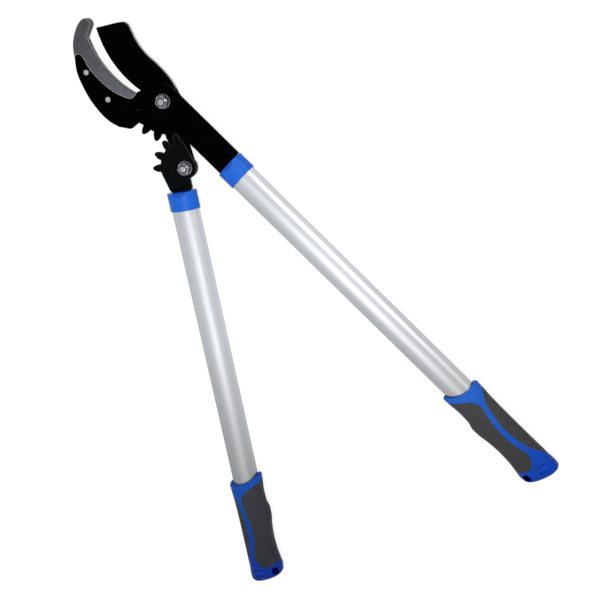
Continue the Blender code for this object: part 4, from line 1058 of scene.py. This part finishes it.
def make_bolt(prefix, centre, nut_top):
    """Bolt with a flanged, dished hexagon head at the back and a threaded, rounded end."""
    low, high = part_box(prefix + "_bolt")
    bottom = low[2]
    end = high[2]
    flange_top = bottom + BOLT_HEAD_HEIGHT
    flange_low = flange_top - FLANGE_HEIGHT
    head = hexagon_solid(prefix + "_flange_bolt", centre, bottom, flange_low + 0.5 * MM, crowned=False)
    floor = bottom + 0.5 * MM
    mouth = bottom - 0.2 * MM
    dish = [(0, floor), (BOLT_DISH_RADIUS - MM, floor), (BOLT_DISH_RADIUS, mouth), (0, mouth)]
    combine(head, lathe("dish", dish, centre))
    rim = stepped(FLANGE_RADIUS, flange_top, FLANGE_RIM)
    flange = [(0, flange_top), *rim, (HEX_ACROSS_FLATS / 2 - 0.4 * MM, flange_low), (0, flange_low)]
    shank = [(0, end)]
    for angle in np.linspace(0.3, 1.57, 5):
        shank.append((BOLT_END_RADIUS * math.sin(angle), end - BOLT_END_RISE * (1 - math.cos(angle))))
    shank += stepped(BOLT_RADIUS, end, ((-0.2, -0.75),))
    crest = BOLT_RADIUS - 0.05 * MM
    height = end - 1.1 * MM
    while height > nut_top - THREAD_IN_NUT:
        shank += [(crest, height), (crest, height - 0.2 * THREAD_PITCH)]
        shank.append((BOLT_RADIUS - THREAD_DEPTH, height - 0.55 * THREAD_PITCH))
        height -= THREAD_PITCH
    foot = flange_top - 0.2 * MM
    shank += [(crest, height), (crest, foot), (0, foot)]
    bolt = merged(head, lathe("flange", flange, centre), lathe("shank", shank, centre))

    def shaded(face):
        """The thread above the nut and a little way into it."""
        in_thread = nut_top - 4 * MM < face.center.z < end - 0.5 * MM
        return in_thread and distance(face.center, centre) > BOLT_SHADE_RADIUS

    dress(bolt, ROOT, "zinc_steel", (ZINC, ZINC_SHADE), prefix + "_bolt", choose=shaded, angle=28)


def make_washer(prefix, centre):
    washer_low, washer_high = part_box(prefix + "_washer")
    low = washer_low[2]
    high = washer_high[2]
    outer = (washer_high[0] - washer_low[0]) / 2
    rim = [*stepped(outer, low, WASHER_FOOT), *stepped(outer, high, WASHER_RIM)]
    profile = [(BOLT_BORE, low), *rim, (BOLT_BORE, high)]
    washer = lathe(prefix + "_washer_turned", profile, centre, closed=True)

    # The washer's top is painted shade, and its rim keeps the plain zinc
    def at_rim(face):
        return distance(face.center, centre) > outer - 0.3 * MM

    dress(washer, ROOT, "zinc_steel", (ZINC_WASHER_SHADE, ZINC), prefix + "_washer", choose=at_rim, angle=35)


def make_rivet(node):
    """Rivet with a low dome at both ends."""
    low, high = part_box(node)
    radius = (high[0] - low[0]) / 2
    dome = [(0, RIVET_RISE), (0.6 * radius, 0.93 * RIVET_RISE)]
    for angle in np.linspace(0.35, 1.57, 6):
        dome.append((radius * (0.6 + 0.4 * math.sin(angle)), 0.9 * RIVET_RISE * math.cos(angle)))
    profile = [(r, high[2] - RIVET_RISE + h) for r, h in dome]
    profile += [(r, low[2] + RIVET_RISE - h) for r, h in reversed(dome)]
    rivet = lathe(node + "_domed", profile, plan_middle(low, high), steps=48)
    dress(rivet, "jaw", "zinc_steel", (ZINC_RIVET,), node)


def make_hardware():
    """Nut, bolt and washer at both pivots, and the anvil's rivets."""
    for prefix in ("main", "link"):
        centre, nut_top = make_nut(prefix)
        make_bolt(prefix, centre, nut_top)
        make_washer(prefix, centre)
    for node in ("anvil_rivet_upper", "anvil_rivet_lower"):
        make_rivet(node)


def oval_ring(half_width, half_height, centre, reach, steps=128):
    """An oval around the handle, at a reach along it."""
    rounds = (polar(1, TURN * i / steps) for i in range(steps))
    return [(centre + half_width * x, -reach, half_height * z) for x, z in rounds]


def make_tube(letter, handle):
    """Oval tube, open at both ends."""
    near = handle["reach"] + COLLAR_TOP + SEAT_GAP
    far = handle["reach"] + COLLAR_LENGTH + TUBE_SHOWN + TUBE_IN_GRIP
    rows = []
    for wall, ends in ((0, (near, far)), (TUBE_WALL, (far, near))):
        for reach in np.linspace(*ends, 25):
            rows.append(oval_ring(HALF_WIDTH - wall, HALF_DEPTH - wall, handle["centre"], reach))
    tube = skin("tube_drawn_" + letter, rows, handle["place"], wrap=True)
    tube.data.set_sharp_from_angle(angle=math.radians(60))
    dress(tube, handle["body"], "tube_aluminium", (handle["aluminium"],), "tube_" + letter)


def make_collar(letter, handle):
    """Blue band whose top plate is slotted for the tang."""
    centre = handle["centre"]
    top = handle["reach"]
    end = top + COLLAR_LENGTH
    low, high = handle["slot"]
    half = TANG_HALF + SEAT_GAP
    outer = SEAT_GAP + COLLAR_WALL

    def slot_ring(reach):
        """The slot's outline, by the directions of an oval's points."""
        ring = []
        for x, _, z in oval_ring(1, 1, 0, 0):
            room = [half / abs(x)] if x else []
            if z:
                room.append((high if z > 0 else -low) / abs(z))
            ring.append((centre + x * min(room), -reach, z * min(room)))
        return ring

    def band(wall, reach):
        """An oval around the tube, cut flat by the facets near the collar's top."""
        limit = HALF_DEPTH + outer - FACET_DROP * max(0, 1 - (reach - top) / FACET_LENGTH)
        ring = oval_ring(HALF_WIDTH + wall, HALF_DEPTH + wall, centre, reach)
        return [(x, y, max(-limit, min(limit, z))) for x, y, z in ring]

    rows = [slot_ring(top + COLLAR_TOP), slot_ring(top + 0.3 * MM), slot_ring(top)]
    soft = COLLAR_TOP_ROUND
    for angle in np.linspace(math.pi / 2, 0, 6):
        rows.append(band(outer - soft + soft * math.cos(angle), top + soft - soft * math.sin(angle)))
    for share in (*np.linspace(0.06, 0.34, 12), *np.linspace(0.4, 0.9, 5)):
        rows.append(band(outer - COLLAR_BELLY * math.sin(math.pi * share), top + COLLAR_LENGTH * share))
    lip = COLLAR_LIP_ROUND
    for angle in np.linspace(0, math.pi / 2, 5):
        rows.append(band(outer - lip + lip * math.cos(angle), end - lip + lip * math.sin(angle)))
    rows += [band(SEAT_GAP, end), band(SEAT_GAP, top + COLLAR_TOP)]
    collar = skin("collar_band_" + letter, rows, handle["place"], wrap=True)
    dress(collar, handle["body"], "collar_blue", (handle["collar"],), "collar_" + letter, angle=50)


def monotone(xs, ys):
    """A function through the points with no overshoot, by cubic pieces."""
    gaps = np.diff(xs)
    rates = np.diff(ys) / gaps
    slopes = np.zeros(len(xs))
    slopes[0] = rates[0]
    slopes[-1] = rates[-1]
    for i in range(1, len(xs) - 1):
        if rates[i - 1] * rates[i] > 0:
            before = 2 * gaps[i] + gaps[i - 1]
            after = gaps[i] + 2 * gaps[i - 1]
            slopes[i] = (before + after) / (before / rates[i - 1] + after / rates[i])

    def value(x):
        i = min(max(int(np.searchsorted(xs, x)) - 1, 0), len(gaps) - 1)
        t = (x - xs[i]) / gaps[i]
        return (ys[i] * (1 + 2 * t) * (1 - t) ** 2 + slopes[i] * gaps[i] * t * (1 - t) ** 2
                + ys[i + 1] * t ** 2 * (3 - 2 * t) + slopes[i + 1] * gaps[i] * t ** 2 * (t - 1))
    return value


PERCENTS, *WALLS = np.array(GRIP_STATIONS).T
OUTER_WALL, INNER_WALL, DEPTH_WALL = (monotone(PERCENTS, wall) for wall in WALLS)


def half_width_at(percent, across):
    """The grip's half width at a percent of its length, on its outer side or its inner."""
    wall = OUTER_WALL(percent) if across > 0 else INNER_WALL(percent)
    return HALF_WIDTH + wall * MM


def scoop_at(percent):
    """How far the rim's scoop draws the middle of the faces along the handle."""
    return RIM_SCOOP * max(0, 1 - GRIP_LENGTH * percent / 100 / RIM_SCOOP_REACH)


def grip_point(handle, percent, angle, lift):
    """A point of the grip's skin; the angle is 0 on its outer side and pi on its inner side."""
    c, s = polar(1, angle)
    half = half_width_at(percent, c) + lift
    depth = HALF_DEPTH + DEPTH_WALL(percent) * MM + lift
    across = half * math.copysign(abs(c) ** (2 / GRIP_SHAPE), c)
    height = depth * math.copysign(abs(s) ** (2 / GRIP_SHAPE), s)
    slant = GRIP_SLANT * across + scoop_at(percent) * (height / depth) ** 2
    reach = handle["grip"] + GRIP_LENGTH * percent / 100 + slant
    return (handle["centre"] + handle["side"] * across, -reach, height)


def on_skin(percent, across):
    """The grip's own (percent, angle) of a front-face place given in percent and metres across."""
    near = percent
    for _ in range(12):
        share = min(1, abs(across) / half_width_at(near, across))
        angle = math.acos(math.copysign(share ** (GRIP_SHAPE / 2), across))
        shift = GRIP_SLANT * across + scoop_at(near) * abs(math.sin(angle)) ** (4 / GRIP_SHAPE)
        near = percent - shift / GRIP_LENGTH * 100
    return near, angle


def make_core(letter, handle):
    """Blue core of the grip with its rolled rim, closed end and hanging hole."""
    angles = [TURN * i / 112 for i in range(112)]
    rows = []
    for along, wall in RIM_LINING:
        ring = []
        for angle in angles:
            x, z = polar(1, angle)
            rim = grip_point(handle, 0, angle, 0)[1]
            aside = handle["side"] * (HALF_WIDTH + wall * MM) * x
            ring.append((handle["centre"] + aside, rim - along * MM, (HALF_DEPTH + wall * MM) * z))
        rows.append(ring)
    for percent in (*np.linspace(0, 4, 14), *np.linspace(4.6, 90, 110), *np.linspace(90.5, 100, 30)):
        crease = LIP_CREASE * math.exp(-((percent - LIP_PERCENT) / LIP_CREASE_SPREAD) ** 2)
        sink = CORE_SINK * min(1, percent / 4) + crease + END_SINK * max(0, percent / 10 - 9)
        rows.append([grip_point(handle, percent, angle, -sink) for angle in angles])
    last = np.array(rows[-1])
    middle = last.mean(axis=0)
    for scale, dome in END_DOME:
        rows.append([(x, y - dome * MM, z) for x, y, z in middle + (last - middle) * scale])
    core = skin("grip_core_moulded_" + letter, rows, handle["place"])
    across = handle["centre"] - handle["side"] * (HALF_WIDTH - HANG_HOLE_INSET)
    along = -handle["grip"] - GRIP_LENGTH + HANG_HOLE_END
    half_width = HANG_HOLE_WIDTH / 2
    half_length = HANG_HOLE_LENGTH / 2
    outline = []
    for k, (x, y) in enumerate(((1, 1), (-1, 1), (-1, -1), (1, -1))):
        place = (across + x * (half_width - HANG_HOLE_ROUND), along + y * (half_length - HANG_HOLE_ROUND))
        outline += arc(HANG_HOLE_ROUND, TURN * k / 4, TURN * (k + 1) / 4, 6, place)
    combine(core, plate("hole", [outline], -30 * MM, 30 * MM, 0, handle["place"]))
    home = handle["place"].inverted()

    def in_hole(face):
        x, y, _ = home @ face.center
        near = abs(x - across) < half_width + 0.05 * MM and abs(y - along) < half_length + 0.05 * MM
        return near and abs((home.to_3x3() @ face.normal).z) < 0.3

    # The hole's walls are painted shade
    blues = (handle["blue"], HOLE_SHADE_BLUE)
    dress(core, handle["body"], "grip_blue", blues, "grip_core_" + letter, choose=in_hole, angle=40)


def pad_edge(kind, edge):
    """A pad's edge on the front face as (percent, angle) on the grip's skin, and the angle of its seam."""
    seam_angle = 0.0 if edge[0][1] > 0 else math.pi
    inside = []
    for percent, across in smooth_line([(along, across * HALF_WIDTH / 100) for along, across in edge], 12):
        near, angle = on_skin(percent, across)
        if abs(across) < half_width_at(near, across) - 0.02 * MM:
            inside.append((near, angle))
    first = (inside[0][0] + (inside[0][0] - inside[1][0]) * 0.3, seam_angle)
    last = (inside[-1][0] + (inside[-1][0] - inside[-2][0]) * 0.3, seam_angle)
    if kind == "outer":
        last = OUTER_PAD_WRAP
        inside = [spot for spot in inside if spot[0] < OUTER_PAD_TURN]
        inside += bend(*np.array([inside[-1], OUTER_PAD_BEND, last]), (0.15, 0.3, 0.45, 0.6, 0.75, 0.9))
    return np.array([first, *inside, last]), seam_angle


def make_pad(kind, letter, handle, edge):
    """Rubber pad that wraps one side of the grip, a little proud of the core, with a rolled edge."""
    front, seam_angle = pad_edge(kind, edge)
    walked = walked_along(np.array([grip_point(handle, *spot, 0) for spot in front]))
    front = resampled(np.linspace(0, walked[-1], PAD_ROWS), walked, front)
    seam = np.column_stack([np.linspace(front[0, 0], front[-1, 0], PAD_ROWS), np.full(PAD_ROWS, seam_angle)])
    border = np.array([grip_point(handle, *spot, 0) for spot in front])
    outline = np.vstack((border, border * (1, 1, -1)))
    rows = []
    for start, end, corner in list(zip(front, seam, border))[1:-1]:
        length = np.linalg.norm(np.array(grip_point(handle, *end, 0)) - corner)
        most = PAD_COLUMNS + len(PAD_EDGE_STEPS)
        near = [min(step * MM / max(length, 1e-6), k / most) for k, step in enumerate(PAD_EDGE_STEPS)]
        row = [grip_point(handle, *start, -PAD_SKIRT)]
        for share in (*near, *np.linspace(near[-1], 1, PAD_COLUMNS + 1)[1:]):
            percent, angle = start * (1 - share) + end * share
            apart = np.linalg.norm(outline - grip_point(handle, percent, angle, 0), axis=1).min()
            roll = max(0.0, PAD_EDGE_ROUND - apart) / PAD_EDGE_ROUND
            lift = -PAD_EDGE_ROUND * 0.75 * (1 - math.sqrt(max(0.0, 1 - roll ** 2)))
            row.append(grip_point(handle, percent, angle, lift))
        rows.append([*row, *((x, y, -z) for x, y, z in reversed(row[:-1]))])
    pad = skin("grip_" + kind + "_rubber_" + letter, rows, handle["place"])
    node = "grip_" + kind + "_pad_" + letter
    dress(pad, handle["body"], "grip_rubber", (handle["rubber"],), node, angle=60)


def make_ribs(letter, handle, long_steps=24, wide_steps=8):
    """Three short raised ribs on both faces of the grip's end, the outer two darker as painted shade and the
    middle one paler as a painted highlight.
    """
    points = []
    faces = []
    stride = wide_steps + 1
    for (p0, a0), (p1, a1) in RIB_ENDS:
        for face_sign in (1, -1):
            base = len(points)
            for share in np.linspace(0, 1, long_steps + 1):
                percent = p0 + (p1 - p0) * share
                across = (a0 + (a1 - a0) * share) * HALF_WIDTH / 100
                taper = math.sqrt(max(0.0, 1 - (2 * share - 1) ** 8))
                for t in np.linspace(-1, 1, wide_steps + 1):
                    off = t * RIB_HALF_WIDTH * max(taper, 0.02)
                    near, angle = on_skin(percent + off / GRIP_LENGTH * 100, across)
                    rise = (RIB_RISE if face_sign > 0 else CORE_SINK) * (1 - t ** 4) * taper
                    x, y, z = grip_point(handle, near, angle, rise - CORE_SINK - 0.02 * MM)
                    points.append((x, y, face_sign * z))
            for a in range(base, base + long_steps * stride):
                if (a - base) % stride < wide_steps:
                    faces.append((a, a + 1, a + 1 + stride, a + stride))
    ribs = mesh_object("grip_ribs_" + letter, points, faces, handle["place"])
    share = len(faces) // len(RIB_ENDS)

    def in_middle(face):
        return share <= face.index < 2 * share

    dress(ribs, handle["body"], "grip_blue", (handle["deep"], handle["pale"]), choose=in_middle)


def finish_hidden_nodes():
    """Finishes of the CAD pieces that stay as they are, inside the tool."""
    finishes = {
        "main_bush": BRONZE, "link_bush": BRONZE, "tang_plug_a": PLUG_NYLON, "tang_plug_b": PLUG_NYLON,
        "tang_pin_a": ZINC, "tang_pin_b": ZINC,
    }
    for node, material in finishes.items():
        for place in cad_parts[node].material_slots:
            place.material = material


def seen_rays(tree):
    """1 for camera, glossy and transmission rays, else 0."""
    path = add_node(tree, "LightPath")
    value = path.outputs["Is Camera Ray"]
    for name in ("Is Glossy Ray", "Is Transmission Ray"):
        larger = add_node(tree, "Math", {0: value, 1: path.outputs[name]}, operation="MAXIMUM")
        value = larger.outputs["Value"]
    return value


def emptied_tree(holder):
    """The node tree of a new material or world, with nothing in it."""
    holder.use_nodes = True
    holder.node_tree.nodes.clear()
    return holder.node_tree


def make_floor():
    """Pale floor that shows white and keeps the tool's soft shadow."""
    bpy.ops.mesh.primitive_plane_add(size=60, location=(0, 0, -FLOOR_SINK))
    floor = bpy.context.object
    floor.name = "studio_floor"
    material = bpy.data.materials.new("studio_floor")
    tree = emptied_tree(material)
    matte = add_node(tree, "BsdfDiffuse", {"Color": FLOOR_GREY})
    level = add_node(tree, "Math", {0: seen_rays(tree), 1: FLOOR_GLOW}, operation="MULTIPLY")
    glow = add_node(tree, "Emission", {"Strength": level.outputs["Value"]})
    both = add_node(tree, "AddShader", {0: matte.outputs["BSDF"], 1: glow.outputs["Emission"]})
    add_node(tree, "OutputMaterial", {"Surface": both.outputs["Shader"]})
    floor.data.materials.append(material)


def make_world(level):
    """World that lights the tool at a level, and shows white."""
    world = bpy.data.worlds.new("studio")
    bpy.context.scene.world = world
    tree = emptied_tree(world)
    lighting = add_node(tree, "Background", {"Strength": level})
    shown = add_node(tree, "Background", {"Strength": 1.0})
    shaders = {0: seen_rays(tree), 1: lighting.outputs["Background"], 2: shown.outputs["Background"]}
    mix = add_node(tree, "MixShader", shaders)
    add_node(tree, "OutputWorld", {"Surface": mix.outputs["Shader"]})


def make_lamp(name, place, aim, size, power, shines=True):
    """A softbox that faces the aim; one that doesn't shine only lights, and shows in no reflection."""
    lamp = bpy.data.lights.new(name, "AREA")
    lamp.shape = "RECTANGLE"
    lamp.size, lamp.size_y = size
    lamp.energy = power
    holder = linked(name, lamp)
    holder.location = place
    holder.rotation_euler = (Vector(aim) - Vector(place)).to_track_quat("-Z", "Y").to_euler()
    holder.visible_camera = False
    holder.visible_glossy = shines


def make_camera():
    """The photograph's viewing angle and framing."""
    camera = bpy.data.cameras.new("camera")
    camera.lens = 60
    camera.sensor_width = 36
    camera.clip_start = 0.01
    camera.clip_end = 100
    holder = linked("camera", camera)
    holder.location = (0.406578, -0.22327, 1.142878)
    holder.rotation_euler = [math.radians(turn) for turn in (-18.28973, 13.69494, -47.3484)]
    bpy.context.scene.camera = holder


make_plates()
make_blade()
make_anvil()
make_hardware()
for letter, handle in HANDLES.items():
    make_tube(letter, handle)
    make_collar(letter, handle)
    make_core(letter, handle)
    make_pad("inner", letter, handle, INNER_PAD_EDGE)
    make_pad("outer", letter, handle, OUTER_PAD_EDGE)
    make_ribs(letter, handle)
finish_hidden_nodes()

make_floor()
make_world(0.58)
make_lamp("lamp_right", (1.0, -0.35, 0.92), (0.0, -0.3, 0.0), (0.55, 0.6), 3.7)
make_lamp("lamp_left", (-0.27, -0.43, 1.1), (0.0, -0.3, 0.0), (0.5, 0.62), 1.85)
make_lamp("lamp_fill", (0.15, -0.1, 0.95), (0.0, -0.2, 0.0), (0.6, 0.6), 3.9, shines=False)
make_camera()
bpy.context.scene.view_settings.view_transform = "Standard"
